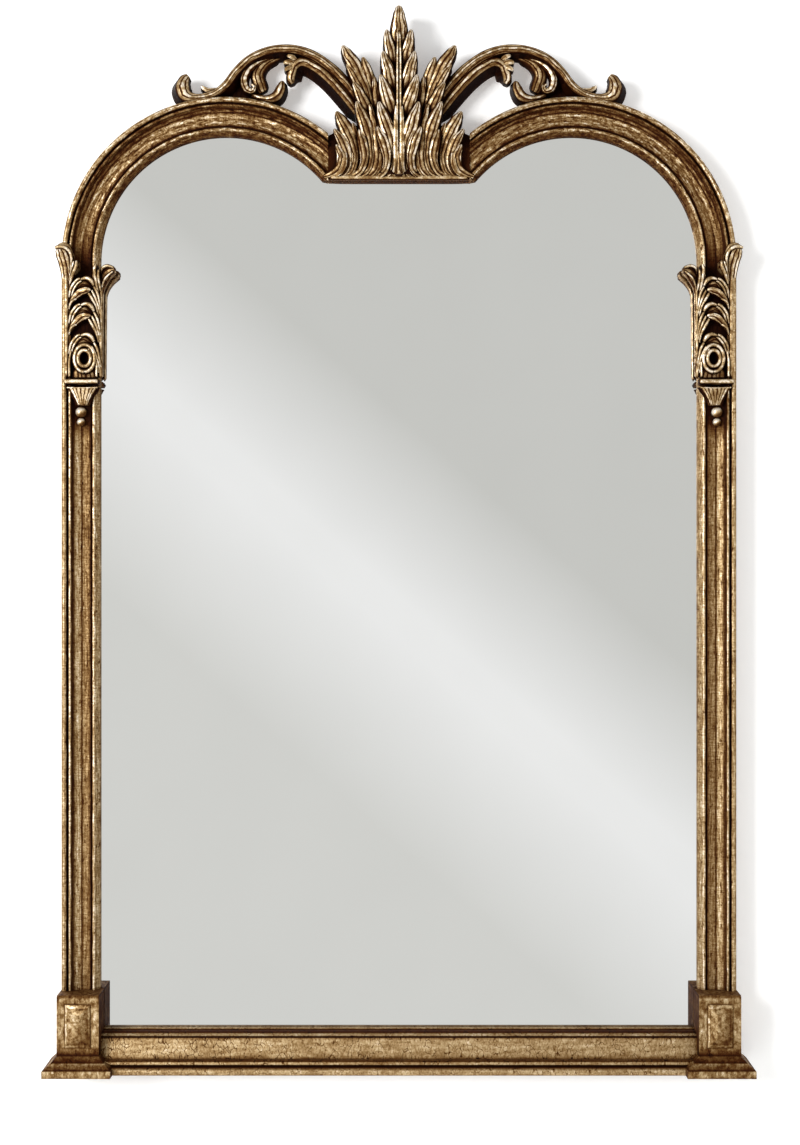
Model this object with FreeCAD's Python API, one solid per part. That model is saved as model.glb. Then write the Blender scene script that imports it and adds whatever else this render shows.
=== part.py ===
import FreeCAD
import Part

import math
import os

from FreeCAD import Vector

os.makedirs("parts", exist_ok=True)

# A wall-hung mirror in a gilt double-arched frame. X runs across, Z runs up and the front
# faces -Y. A depth is a distance in front of the frame's back, which is the plane Y = 0.
# The mirror is symmetrical, so the left half is built and the right half is its mirror image.

# Opening of the frame, as seen from the front
SIGHT_HALF_WIDTH = 254.0
SIGHT_BOTTOM = 34.0
SPRING_HEIGHT = 685.0
ARCH_SHARE = 107.0 / 254.0
CREST_SHARE = 69.0 / 107.0

# Layers in the rabbet behind the frame's lip, from the back
BACKING_THICKNESS = 3.0
CUSHION_THICKNESS = 1.8
GLASS_THICKNESS = 4.0
FELT_THICKNESS = 1.0
RABBET_WIDTH = 8.0
GLASS_EDGE_GAP = 1.0
FELT_INSET = 1.0

# Members of the frame moulding from the sight edge outward, and their depths
BEVEL_WIDTH = 3.0
BEAD_WIDTH = 3.6
QUIRK_WIDTH = 0.8
COVE_WIDTH = 15.9
FILLET_WIDTH = 2.4
OUTER_QUIRK_WIDTH = 1.2
OVOLO_WIDTH = 4.4
LIP_THICKNESS = 2.7
BEVEL_DEPTH = 17.0
QUIRK_DEPTH = 15.6
COVE_INNER_DEPTH = 16.8
COVE_SAG = 1.7
COVE_OUTER_DEPTH = 19.4
FILLET_DEPTH = 21.6
OUTER_QUIRK_DEPTH = 20.0
OVOLO_DEPTH = 24.6
OVOLO_DROP = 3.0

# Bottom rail: heights above the base line and depths
RAIL_FIELD_TOP = 29.5
RAIL_FIELD_BOTTOM = 11.8
RAIL_BAND_BOTTOM = 8.2
RAIL_BASE_TOP = 6.6
RAIL_LIP_DEPTH = 13.0
RAIL_FIELD_DEPTH = 30.0
RAIL_FIELD_SLOPE = 3.0
RAIL_BAND_DEPTH = 39.0
RAIL_BASE_DEPTH = 45.0
RAIL_STEP = 1.6

# Plinth blocks with a flared foot and a raised tablet
PLINTH_OVERHANG = 1.0
PLINTH_LAP = 3.0
PLINTH_TOP = 67.0
PLINTH_DEPTH = 43.0
PLINTH_BEVEL = 1.5
FOOT_TOP = 16.0
FOOT_WAIST = 11.0
FOOT_BASE = 6.0
FOOT_WAIST_SPREAD = 5.0
FOOT_SPREAD = 11.0
TABLET_WIDTH = 21.0
TABLET_HEIGHT = 36.0
TABLET_RISE = 3.4
TABLET_EDGE = 0.9
TABLET_TOP_WIDTH = 5.0

# Crest block and the carved leaves in front of it. The crest is drawn for an arch of the
# drawing radius, and grows across and up with the arch
DRAWING_RADIUS = 107.0
CREST_HALF_WIDTH = 60.0
CREST_TOP_HALF_WIDTH = 40.0
CREST_RISE = 46.0
CREST_DEPTH = 18.0
CREST_SHOULDER_DROP = 1.0
CREST_FILLET = 2.5
LEAF_BACK = 10.0
CENTRE_LEAF_DEPTH = 40.0
SIDE_LEAF_DEPTH = 35.0
LOW_LEAF_DEPTH = 31.0
STALK_DROP = 5.0
BLADE_BEVEL = 1.6
BLADE_WIDEST = 0.58
BLADE_STEM = 0.45

# Scrolls on the arches
SCROLL_BACK = 3.0
OUTER_SCROLL_DEPTH = 24.0
INNER_SCROLL_DEPTH = 22.0
VOLUTE_DEPTH = 20.0

# Corbels on the stiles
CORBEL_BACK = 13.0
CORBEL_DEPTH = 27.0
CORBEL_LEAF_DEPTH = 33.0
CORBEL_TOP_WIDTH = 32.0
CORBEL_WAIST_WIDTH = 31.0
CORBEL_FOOT_WIDTH = 27.0
CORBEL_CENTRE = 13.2
CORBEL_HEIGHT = 92.0
CORBEL_FOOT_DROP = 100.7
LEDGE_HEIGHT = 5.5
LEDGE_DEPTH = 34.0
DROP_HEIGHT = 17.0
DROP_FOOT_WIDTH = 10.0
DROP_DEPTH = 27.0
EYE_RADIUS = 4.4
EYE_RING = 4.6
EYE_RISE = 18.4
EYE_FLOOR = 20.0
HOLLOW_RADIUS = 4.2
HOLLOW_RISES = (41.2, 67.3)
BEAD_RADII = (4.6, 3.4)
BEAD_GAP = 0.4

# Metal fittings on the back
SCREW_RADIUS = 1.75
SCREW_LENGTH = 11.0
SCREW_HEAD_RADIUS = 3.3
SCREW_HEAD_HEIGHT = 1.6
SCREW_CLEARANCE = 0.05
PLATE_THICKNESS = 2.0
PLATE_WIDTH = 14.0
PLATE_END = 6.0
BRACE_UPRIGHT = 112.0
BRACE_FOOT = 90.0
BRACE_HEIGHT = 12.0
STILE_PLATE_LENGTH = 74.0
STILE_PLATE_SCREW = 24.0
CREST_PLATE_LAP = 10.0
CREST_PLATE_RISE = 14.0
CREST_PLATE_SCREW = 22.0
CREST_SCREW_LENGTH = 27.0
CREST_SCREW_RISE = 34.0
CREST_SCREW_SPREAD = 24.0

# Turn buttons that hold the backing board
BUTTON_THICKNESS = 1.2
BUTTON_PIVOT_RADIUS = 6.5
BUTTON_NOSE_RADIUS = 4.5
BUTTON_REACH = 21.0
BUTTON_LIFT = 0.2
BUTTON_PLAY = 0.1
LOWER_BUTTON_HEIGHT = 230.0
UPPER_BUTTON_DROP = 215.0
RAIL_BUTTON_INSET = 134.0
RAIL_BUTTON_HEIGHT = 12.0

# Strap hangers with D-rings, and wall bumpers
STRAP_WIDTH = 14.0
STRAP_LENGTH = 44.0
STRAP_THICKNESS = 1.2
STRAP_SCREWS = (10.0, 35.0)
RING_WIRE = 1.5
RING_PLAY = 0.1
RING_INNER_RADIUS = 11.0
RING_LEG = 4.0
RING_LEAN = 3.2
HANGER_DROP = 77.0
BUMPER_RADIUS = 7.0
BUMPER_THICKNESS = 5.0
BUMPER_GAP = 26.0

# Dowels in the joints and pins under the carving
DOWEL_RADIUS = 4.0
DOWEL_LENGTH = 36.0
DOWEL_CLEARANCE = 0.05
STILE_DOWEL_DEPTH = 7.5
RAIL_DOWEL_DEPTH = 21.0
RAIL_DOWEL_HEIGHT = 16.0
CREST_DOWEL_DROP = 8.5
PIN_RADIUS = 1.25
PIN_LENGTH = 15.0
CORBEL_PIN_RISES = (30.0, 56.0)

# Sizes that follow from the driving dimensions
GLASS_BACK = BACKING_THICKNESS + CUSHION_THICKNESS
GLASS_FRONT = GLASS_BACK + GLASS_THICKNESS
RABBET_DEPTH = GLASS_FRONT + FELT_THICKNESS
LIP_DEPTH = RABBET_DEPTH + LIP_THICKNESS
MOULDING_WIDTH = (BEVEL_WIDTH + BEAD_WIDTH + QUIRK_WIDTH + COVE_WIDTH + FILLET_WIDTH
                  + OUTER_QUIRK_WIDTH + OVOLO_WIDTH)
LAND_CENTRE = (RABBET_WIDTH + MOULDING_WIDTH) / 2
LAND_X = -(SIGHT_HALF_WIDTH + LAND_CENTRE)
ARCH_RADIUS = SIGHT_HALF_WIDTH * ARCH_SHARE
ARCH_X = SIGHT_HALF_WIDTH - ARCH_RADIUS
ARCH_OUTER_RADIUS = ARCH_RADIUS + MOULDING_WIDTH
ARCH_TOP = SPRING_HEIGHT + ARCH_OUTER_RADIUS
CREST_HEIGHT = SPRING_HEIGHT + ARCH_RADIUS * CREST_SHARE
CREST_GROWTH = ARCH_RADIUS / DRAWING_RADIUS
CREST_SIDE_X = CREST_HALF_WIDTH * CREST_GROWTH
PLINTH_OUTER_X = SIGHT_HALF_WIDTH + MOULDING_WIDTH + PLINTH_OVERHANG
PLINTH_INNER_X = SIGHT_HALF_WIDTH - PLINTH_LAP
CORBEL_FOOT = SPRING_HEIGHT - CORBEL_FOOT_DROP
HANGER_HEIGHT = SPRING_HEIGHT - HANGER_DROP
BUTTON_HEIGHTS = (LOWER_BUTTON_HEIGHT, SPRING_HEIGHT - UPPER_BUTTON_DROP)
RAIL_BUTTON_X = SIGHT_HALF_WIDTH - RAIL_BUTTON_INSET
BUMPER_HEIGHT = BRACE_HEIGHT + BRACE_UPRIGHT + BUMPER_GAP
EYE_BORE = RING_WIRE + RING_PLAY
STRAP_EYE_RADIUS = EYE_BORE + STRAP_THICKNESS
ARCH_SWEEP = 175.0
BEYOND = 1.0
TOLERANCE = 0.01

pieces = {}
drills = []


def at(x, depth, z):
    return Vector(x, -depth, z)


def mirrored(shape):
    return shape.mirror(Vector(0, 0, 0), Vector(1, 0, 0))


def add_pair(name, left_shape):
    pieces["left_" + name] = left_shape
    pieces["right_" + name] = mirrored(left_shape)


def box(x0, x1, depth0, depth1, z0, z1):
    return Part.makeBox(x1 - x0, depth1 - depth0, z1 - z0, at(x0, depth1, z0))


def outline(place, start, steps):
    """Closed wire through flat points. A step is a line's end, or an arc's middle and end."""
    edges = []
    here = place(*start)
    for step in steps + [start]:
        is_arc = isinstance(step[0], tuple)
        there = place(*(step[1] if is_arc else step))
        if is_arc and place(*step[0]).distanceToLine(here, there - here) > TOLERANCE:
            edges.append(Part.Arc(here, place(*step[0]), there).toShape())
        else:
            edges.append(Part.LineSegment(here, there).toShape())
        here = there
    return Part.Wire(edges)


def slab(wire, depth):
    """Solid that runs forward from a flat wire by a depth."""
    return Part.Face(wire).extrude(Vector(0, -depth, 0))


def fused(shapes):
    return shapes[0].multiFuse(shapes[1:]).removeSplitter()


def without(shape, *others):
    return shape.cut(list(others))


# Opening of the frame, grown outward by an offset: its base, its two arches and its crest line
def sight_wire(offset, depth):
    half = SIGHT_HALF_WIDTH + offset
    radius = ARCH_RADIUS + offset
    base = SIGHT_BOTTOM - offset
    crest = CREST_HEIGHT + offset
    end_angle = math.asin((crest - SPRING_HEIGHT) / radius)
    middle_angle = (math.pi + end_angle) / 2
    crest_x = ARCH_X - radius * math.cos(end_angle)
    shoulder_x = ARCH_X - radius * math.cos(middle_angle)
    shoulder_z = SPRING_HEIGHT + radius * math.sin(middle_angle)
    return outline(
        lambda x, z: at(x, depth, z),
        (-half, base),
        [
            (half, base),
            (half, SPRING_HEIGHT),
            ((shoulder_x, shoulder_z), (crest_x, crest)),
            (-crest_x, crest),
            ((-shoulder_x, shoulder_z), (-half, SPRING_HEIGHT)),
        ],
    )


rabbet = slab(sight_wire(RABBET_WIDTH, -BEYOND), RABBET_DEPTH + BEYOND)


# Frame moulding: lip, bevel, bead, wide cove, fillet bead and a rounded outer band
def moulding_wire(place):
    bead = BEVEL_WIDTH + BEAD_WIDTH
    cove = bead + QUIRK_WIDTH
    fillet = cove + COVE_WIDTH
    quirk = fillet + FILLET_WIDTH
    ovolo = quirk + OUTER_QUIRK_WIDTH
    cove_middle = (COVE_INNER_DEPTH + COVE_OUTER_DEPTH) / 2 - COVE_SAG
    bead_top = (BEVEL_WIDTH + BEAD_WIDTH / 2, BEVEL_DEPTH + BEAD_WIDTH / 2)
    fillet_top = (fillet + FILLET_WIDTH / 2, FILLET_DEPTH + FILLET_WIDTH / 2)
    ovolo_top = ((ovolo + MOULDING_WIDTH) / 2, OVOLO_DEPTH)
    return outline(
        place,
        (0, 0),
        [
            (0, LIP_DEPTH),
            (BEVEL_WIDTH, BEVEL_DEPTH),
            (bead_top, (bead, BEVEL_DEPTH)),
            (bead, QUIRK_DEPTH),
            (cove, QUIRK_DEPTH),
            (cove, COVE_INNER_DEPTH),
            (((cove + fillet) / 2, cove_middle), (fillet, COVE_OUTER_DEPTH)),
            (fillet, FILLET_DEPTH),
            (fillet_top, (quirk, FILLET_DEPTH)),
            (quirk, OUTER_QUIRK_DEPTH),
            (ovolo, OUTER_QUIRK_DEPTH),
            (ovolo, OVOLO_DEPTH - OVOLO_DROP / 2),
            (ovolo_top, (MOULDING_WIDTH, OVOLO_DEPTH - OVOLO_DROP)),
            (MOULDING_WIDTH, 0),
        ],
    )


def moulding_face(z):
    return Part.Face(moulding_wire(lambda width, depth: at(-(SIGHT_HALF_WIDTH + width), depth, z)))


# Stile: the moulding run straight up from the plinth to the arch
stile = moulding_face(PLINTH_TOP).extrude(Vector(0, 0, SPRING_HEIGHT - PLINTH_TOP)).cut(rabbet)

# Arch: the same moulding turned about the arch's centre, ended where the crest block begins
arch_centre = at(-ARCH_X, 0, SPRING_HEIGHT)
arch_front = OVOLO_DEPTH + BEYOND
arch = moulding_face(SPRING_HEIGHT).revolve(arch_centre, Vector(0, 1, 0), ARCH_SWEEP)
arch = without(
    arch,
    box(-CREST_SIDE_X, SIGHT_HALF_WIDTH, -BEYOND, arch_front, SPRING_HEIGHT - BEYOND, ARCH_TOP),
    box(-ARCH_X, SIGHT_HALF_WIDTH, -BEYOND, arch_front, SPRING_HEIGHT - BEYOND, CREST_HEIGHT),
    rabbet,
)


# Plinth: a block with a bevelled top edge, on a foot that flares in two slopes
def plinth_level(z, spread):
    return outline(
        lambda x, depth: at(x, depth, z),
        (-PLINTH_OUTER_X - spread, 0),
        [
            (-PLINTH_OUTER_X - spread, PLINTH_DEPTH + spread),
            (-PLINTH_INNER_X + spread, PLINTH_DEPTH + spread),
            (-PLINTH_INNER_X + spread, 0),
        ],
    )


plinth = Part.makeLoft(
    [
        plinth_level(0, FOOT_SPREAD),
        plinth_level(FOOT_BASE, FOOT_SPREAD),
        plinth_level(FOOT_WAIST, FOOT_WAIST_SPREAD),
        plinth_level(FOOT_TOP, 0),
        plinth_level(PLINTH_TOP, 0),
    ],
    True,
    True,
)
front_top_edges = []
for edge in plinth.Edges:
    middle = edge.CenterOfMass
    at_top = abs(middle.z - PLINTH_TOP) < TOLERANCE
    if at_top and abs(middle.y + PLINTH_DEPTH) < TOLERANCE:
        front_top_edges.append(edge)
plinth = plinth.makeChamfer(PLINTH_BEVEL, front_top_edges).cut(rabbet)

# Tablet on the front of the plinth: a flat margin that rises to a hipped ridge
TABLET_X = -(PLINTH_OUTER_X + PLINTH_INNER_X) / 2
TABLET_Z = (FOOT_TOP + PLINTH_TOP) / 2


def tablet_level(depth, inset):
    half_width = TABLET_WIDTH / 2 - inset
    half_height = TABLET_HEIGHT / 2 - inset
    return outline(
        lambda x, z: at(TABLET_X + x, depth, TABLET_Z + z),
        (-half_width, -half_height),
        [(half_width, -half_height), (half_width, half_height), (-half_width, half_height)],
    )


tablet_ridge_inset = (TABLET_WIDTH - TABLET_TOP_WIDTH) / 2
tablet = Part.makeLoft(
    [
        tablet_level(PLINTH_DEPTH, 0),
        tablet_level(PLINTH_DEPTH + TABLET_EDGE, 0),
        tablet_level(PLINTH_DEPTH + TABLET_RISE, tablet_ridge_inset),
    ],
    True,
    True,
)

# Bottom rail: lip, rounded top member, sloping flat field, band and a half-round base
rail_base_back = RAIL_BASE_DEPTH - RAIL_BASE_TOP / 2
rail_profile = outline(
    lambda depth, z: at(-PLINTH_INNER_X, depth, z),
    (0, 0),
    [
        (rail_base_back, 0),
        ((RAIL_BASE_DEPTH, RAIL_BASE_TOP / 2), (rail_base_back, RAIL_BASE_TOP)),
        (RAIL_BAND_DEPTH - RAIL_STEP, RAIL_BASE_TOP),
        (RAIL_BAND_DEPTH - RAIL_STEP, RAIL_BAND_BOTTOM),
        (RAIL_BAND_DEPTH, RAIL_BAND_BOTTOM),
        (
            (RAIL_BAND_DEPTH - RAIL_STEP / 2, RAIL_FIELD_BOTTOM - RAIL_STEP / 2),
            (RAIL_FIELD_DEPTH + RAIL_FIELD_SLOPE + RAIL_STEP, RAIL_FIELD_BOTTOM),
        ),
        (RAIL_FIELD_DEPTH + RAIL_FIELD_SLOPE, RAIL_FIELD_BOTTOM),
        (RAIL_FIELD_DEPTH, RAIL_FIELD_TOP),
        (RAIL_FIELD_DEPTH - RAIL_STEP, RAIL_FIELD_TOP),
        (
            (RAIL_FIELD_DEPTH - 3 * RAIL_STEP, SIGHT_BOTTOM - 1.5 * RAIL_STEP),
            (RAIL_LIP_DEPTH + RAIL_STEP, SIGHT_BOTTOM - RAIL_STEP),
        ),
        (RAIL_LIP_DEPTH, SIGHT_BOTTOM),
        (0, SIGHT_BOTTOM),
    ],
)
rail = Part.Face(rail_profile).extrude(Vector(2 * PLINTH_INNER_X, 0, 0))
rail = without(rail, plinth, mirrored(plinth), rabbet)

# Crest block: fills the gap between the two arches and carries the carved leaves
crest_shoulder = SPRING_HEIGHT - CREST_SHOULDER_DROP + math.sqrt(
    ARCH_OUTER_RADIUS ** 2 - (ARCH_X - CREST_SIDE_X) ** 2)
crest_top_x = CREST_TOP_HALF_WIDTH * CREST_GROWTH
crest_top = CREST_HEIGHT + CREST_RISE * CREST_GROWTH
crest_block = slab(
    outline(
        lambda x, z: at(x, 0, z),
        (-CREST_SIDE_X, CREST_HEIGHT),
        [
            (CREST_SIDE_X, CREST_HEIGHT),
            (CREST_SIDE_X, crest_shoulder),
            (crest_top_x, crest_top),
            (-crest_top_x, crest_top),
            (-CREST_SIDE_X, crest_shoulder),
        ],
    ),
    CREST_DEPTH,
).cut(rabbet)


# Carved blades and ribbons. Both are drawn flat, as outlines of arcs, and their front is bevelled
def blade_wire(place, root, tip, half_width, bend, depth, inset):
    length = math.dist(root, tip)
    along = ((tip[0] - root[0]) / length, (tip[1] - root[1]) / length)

    def spot(run, side):
        return (root[0] + along[0] * run - along[1] * side, root[1] + along[1] * run + along[0] * side)

    stem = half_width * BLADE_STEM - inset / 2
    widest = length * BLADE_WIDEST
    point = spot(length - 2 * inset, 0)
    return outline(
        lambda u, v: place(u, depth, v),
        spot(inset, stem),
        [
            (spot(widest, bend + half_width - inset), point),
            (spot(widest, bend - half_width + inset), spot(inset, -stem)),
        ],
    )


def blade(place, root, tip, half_width, bend, back, front):
    levels = ((back, 0.0), (front - BLADE_BEVEL, 0.0), (front, BLADE_BEVEL))
    wires = [blade_wire(place, root, tip, half_width, bend, depth, inset) for depth, inset in levels]
    return Part.makeLoft(wires, True, True)


def ribbon_wire(place, line, depth, inset):
    """Outline along a line of (u, v, width) points, three to an arc with shared ends."""
    left_edge = []
    right_edge = []
    for index, (u, v, width) in enumerate(line):
        before = line[max(index - 1, 0)]
        after = line[min(index + 1, len(line) - 1)]
        length = math.dist(before[:2], after[:2])
        normal = ((before[1] - after[1]) / length, (after[0] - before[0]) / length)
        half = width / 2 - inset
        left_edge.append((u + normal[0] * half, v + normal[1] * half))
        right_edge.append((u - normal[0] * half, v - normal[1] * half))
    right_edge.reverse()
    steps = []
    for index in range(1, len(line), 2):
        steps.append((left_edge[index], left_edge[index + 1]))
    steps.append(right_edge[0])
    for index in range(1, len(line), 2):
        steps.append((right_edge[index], right_edge[index + 1]))
    return outline(lambda u, v: place(u, depth, v), left_edge[0], steps)


def ribbon(place, line, back, front):
    levels = ((back, 0.0), (front - BLADE_BEVEL, 0.0), (front, BLADE_BEVEL))
    return Part.makeLoft([ribbon_wire(place, line, depth, inset) for depth, inset in levels], True, True)


# Crest leaves. Points are across from the middle and up from the crest line. A blade is
# its root, its tip, its half width and how far it bends sideways at its widest
def on_crest(across, depth, up):
    return at(across * CREST_GROWTH, depth, CREST_HEIGHT + up * CREST_GROWTH)


centre_stalk = [(0, 0.0, 34.0), (0, 26.0, 20.0), (0, 52.0, 11.0), (0, 76.0, 8.0), (0, 100.0, 5.0)]
centre_blades = [
    ((0, 96.0), (0, 143.7), 7.6, 0.0),
]
centre_side_blades = [
    ((1.0, 84.0), (10.5, 124.5), 5.0, -2.5),
    ((1.5, 66.0), (14.0, 105.5), 5.6, -2.5),
    ((2.0, 46.0), (16.0, 85.5), 6.2, -2.5),
    ((3.0, 24.0), (17.0, 62.0), 6.4, -2.5),
    ((6.0, 3.0), (18.5, 41.0), 5.4, -2.5),
]
side_stalk = [
    (-24.0, 0.0, 24.0), (-22.0, 26.0, 20.0), (-24.5, 52.0, 13.0), (-28.5, 68.0, 10.0), (-34.0, 84.0, 7.0),
]
side_blades = [
    ((-29.0, 68.0), (-48.8, 111.0), 5.2, 2.0),
    ((-24.0, 66.0), (-30.7, 101.0), 4.6, -1.5),
    ((-28.0, 66.0), (-44.0, 95.0), 4.2, 1.5),
    ((-20.0, 50.0), (-20.4, 83.0), 4.6, -1.0),
    ((-26.0, 52.0), (-38.5, 80.0), 4.6, 2.0),
    ((-23.0, 30.0), (-36.7, 64.5), 5.4, 2.5),
    ((-26.0, 6.0), (-34.8, 41.0), 5.0, 2.5),
]
low_stalk = [(-51.0, 0.0, 28.0), (-47.5, 16.0, 18.0), (-47.0, 32.0, 10.0)]
low_blades = [
    ((-44.0, 16.0), (-54.8, 55.5), 5.4, 1.5),
    ((-46.0, 12.0), (-56.5, 41.5), 4.6, 1.5),
    ((-51.0, 3.0), (-55.5, 30.0), 5.0, 1.5),
    ((-40.0, 12.0), (-41.0, 47.0), 4.4, -1.0),
]


def leaf(stalk, blades, depth):
    """One carved leaf: a stalk with blades that stand a little prouder towards the tip."""
    shapes = [ribbon(on_crest, stalk, LEAF_BACK, depth - STALK_DROP)]
    for index, (root, tip, half_width, bend) in enumerate(blades):
        front = depth - STALK_DROP * index / len(blades)
        shapes.append(blade(on_crest, root, tip, half_width, bend, LEAF_BACK, front))
    return fused(shapes)


centre_all = list(centre_blades)
for root, tip, half_width, bend in centre_side_blades:
    centre_all.append((root, tip, half_width, bend))
    centre_all.append(((-root[0], root[1]), (-tip[0], tip[1]), half_width, -bend))
crest_foot = box(-SIGHT_HALF_WIDTH, SIGHT_HALF_WIDTH, 0, CENTRE_LEAF_DEPTH + BEYOND,
                 SPRING_HEIGHT, CREST_HEIGHT + CREST_FILLET)
seats = (crest_block, crest_foot, arch, mirrored(arch))
centre_leaf = without(leaf(centre_stalk, centre_all, CENTRE_LEAF_DEPTH), *seats)
side_leaf = without(leaf(side_stalk, side_blades, SIDE_LEAF_DEPTH), centre_leaf, *seats)
low_leaf = without(leaf(low_stalk, low_blades, LOW_LEAF_DEPTH), centre_leaf, side_leaf, *seats)


# Scrolls on the arch. Points are across from the arch's centre and up from its top
def on_arch(across, depth, up):
    return at(across * CREST_GROWTH - ARCH_X, depth, ARCH_TOP + up * CREST_GROWTH)


outer_scroll_line = [
    (-31.0, 17.5, 3.6), (-38.0, 8.0, 10.0), (-31.0, -1.5, 9.0), (-16.5, -1.0, 7.0), (-4.2, 6.2, 6.5),
    (8.6, 22.8, 6.5), (24.1, 37.2, 7.0), (60.0, 41.6, 7.6), (92.0, 23.4, 8.0), (101.0, 14.0, 8.0),
    (110.0, 1.0, 8.0),
]
outer_scroll_leaf = ((0.0, 4.0), (-19.9, 9.6), 2.8, 0.8)
inner_scroll_line = [
    (55.5, 13.0, 6.0), (53.8, 24.0, 9.0), (60.0, 30.0, 8.0), (73.0, 27.0, 8.5), (83.8, 19.6, 9.0),
    (96.0, 8.0, 8.5), (110.0, -10.0, 8.5),
]
volute_line = [
    (31.8, 34.0, 8.0), (18.0, 22.0, 12.0), (17.4, 8.7, 11.0), (23.3, 1.1, 9.5), (33.5, -2.3, 8.0),
    (45.5, 2.0, 8.0), (46.2, 13.8, 3.8),
]
outer_scroll = fused([
    ribbon(on_arch, outer_scroll_line, SCROLL_BACK, OUTER_SCROLL_DEPTH),
    blade(on_arch, *outer_scroll_leaf, SCROLL_BACK, INNER_SCROLL_DEPTH),
])
arch_round = Part.makeCylinder(ARCH_OUTER_RADIUS, arch_front, arch_centre, Vector(0, -1, 0))
outer_scroll = without(outer_scroll, arch, arch_round, side_leaf)
inner_scroll = ribbon(on_arch, inner_scroll_line, SCROLL_BACK, INNER_SCROLL_DEPTH)
inner_scroll = without(inner_scroll, arch, arch_round, side_leaf, outer_scroll)
volute = ribbon(on_arch, volute_line, SCROLL_BACK, VOLUTE_DEPTH)
volute = without(volute, arch, arch_round, outer_scroll)


# Corbel on the stile. Points are outward from the corbel's centre line and up from its foot
def on_corbel(outward, depth, up):
    return at(-(SIGHT_HALF_WIDTH + CORBEL_CENTRE + outward), depth, CORBEL_FOOT + up)


corbel_line = [
    (0, 0, CORBEL_FOOT_WIDTH),
    (0, CORBEL_HEIGHT / 2, CORBEL_WAIST_WIDTH),
    (0, CORBEL_HEIGHT, CORBEL_TOP_WIDTH),
]
corbel_blades = [
    ((12.0, 62.0), (23.5, 111.0), 5.0, 3.0),
    ((8.0, 70.0), (15.5, 115.0), 5.6, 1.5),
    ((-11.0, 56.0), (-27.8, 93.5), 5.0, -3.0),
    ((-8.0, 60.0), (-18.0, 97.0), 5.4, -1.5),
    ((12.0, 44.0), (3.0, 98.0), 5.0, 2.0),
    ((-11.0, 42.0), (-4.0, 88.0), 5.0, -2.0),
    ((13.0, 24.0), (1.5, 62.0), 5.0, 2.0),
    ((-13.0, 24.0), (-2.5, 60.0), 5.0, -2.0),
    ((12.0, 4.0), (3.0, 38.0), 5.0, 2.0),
    ((-12.0, 4.0), (-3.0, 38.0), 5.0, -2.0),
]
corbel_shapes = [ribbon(on_corbel, corbel_line, CORBEL_BACK, CORBEL_DEPTH)]
for root, tip, half_width, bend in corbel_blades:
    corbel_shapes.append(blade(on_corbel, root, tip, half_width, bend, CORBEL_BACK, CORBEL_LEAF_DEPTH))


def upright_rod(place, up, radius, back, front):
    """Round rod that runs forward from a depth, on a carving's own centre line."""
    return Part.makeCylinder(radius, front - back, place(0, back, up), Vector(0, -1, 0))


corbel_shapes.append(upright_rod(on_corbel, EYE_RISE, EYE_RADIUS + EYE_RING, CORBEL_BACK, CORBEL_LEAF_DEPTH))
hollows = [upright_rod(on_corbel, EYE_RISE, EYE_RADIUS, EYE_FLOOR, LEDGE_DEPTH + BEYOND)]
for rise in HOLLOW_RISES:
    hollows.append(upright_rod(on_corbel, rise, HOLLOW_RADIUS, EYE_FLOOR, LEDGE_DEPTH + BEYOND))
corbel = without(fused(corbel_shapes), stile, arch, *hollows)

# Ledge under the corbel, the tapered drop under the ledge and two beads under the drop
ledge_x = -(SIGHT_HALF_WIDTH + CORBEL_CENTRE)
ledge = box(ledge_x - CORBEL_FOOT_WIDTH / 2, ledge_x + CORBEL_FOOT_WIDTH / 2,
            CORBEL_BACK, LEDGE_DEPTH, CORBEL_FOOT - LEDGE_HEIGHT, CORBEL_FOOT).cut(stile)


def drop_wire(depth, inset):
    half_top = CORBEL_FOOT_WIDTH / 2 - inset
    half_foot = DROP_FOOT_WIDTH / 2 - inset
    drop_foot = -LEDGE_HEIGHT - DROP_HEIGHT
    return outline(
        lambda outward, up: on_corbel(outward, depth, up),
        (-half_top, -LEDGE_HEIGHT),
        [(half_top, -LEDGE_HEIGHT), (half_foot, drop_foot), (-half_foot, drop_foot)],
    )


drop_wires = [
    drop_wire(CORBEL_BACK, 0),
    drop_wire(DROP_DEPTH - BLADE_BEVEL, 0),
    drop_wire(DROP_DEPTH, BLADE_BEVEL),
]
drop = Part.makeLoft(drop_wires, True, True).cut(stile)
beads = []
bead_outward = BEVEL_WIDTH + BEAD_WIDTH + QUIRK_WIDTH + COVE_WIDTH / 2 - CORBEL_CENTRE
bead_up = -LEDGE_HEIGHT - DROP_HEIGHT
for radius in BEAD_RADII:
    bead_up -= BEAD_GAP + radius
    beads.append(Part.makeSphere(radius, on_corbel(bead_outward, COVE_OUTER_DEPTH, bead_up)).cut(stile))
    bead_up -= radius

# Mirror glass, the felt under the lip in front of it, and the soft sheet and board behind it
glass_offset = RABBET_WIDTH - GLASS_EDGE_GAP
backing_board = slab(sight_wire(glass_offset, 0), BACKING_THICKNESS)
cushion_sheet = slab(sight_wire(glass_offset, BACKING_THICKNESS), CUSHION_THICKNESS)
mirror_glass = slab(sight_wire(glass_offset, GLASS_BACK), GLASS_THICKNESS)
felt_tape = slab(sight_wire(glass_offset, GLASS_FRONT), FELT_THICKNESS)
felt_tape = felt_tape.cut(slab(sight_wire(FELT_INSET, GLASS_FRONT), FELT_THICKNESS))


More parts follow.
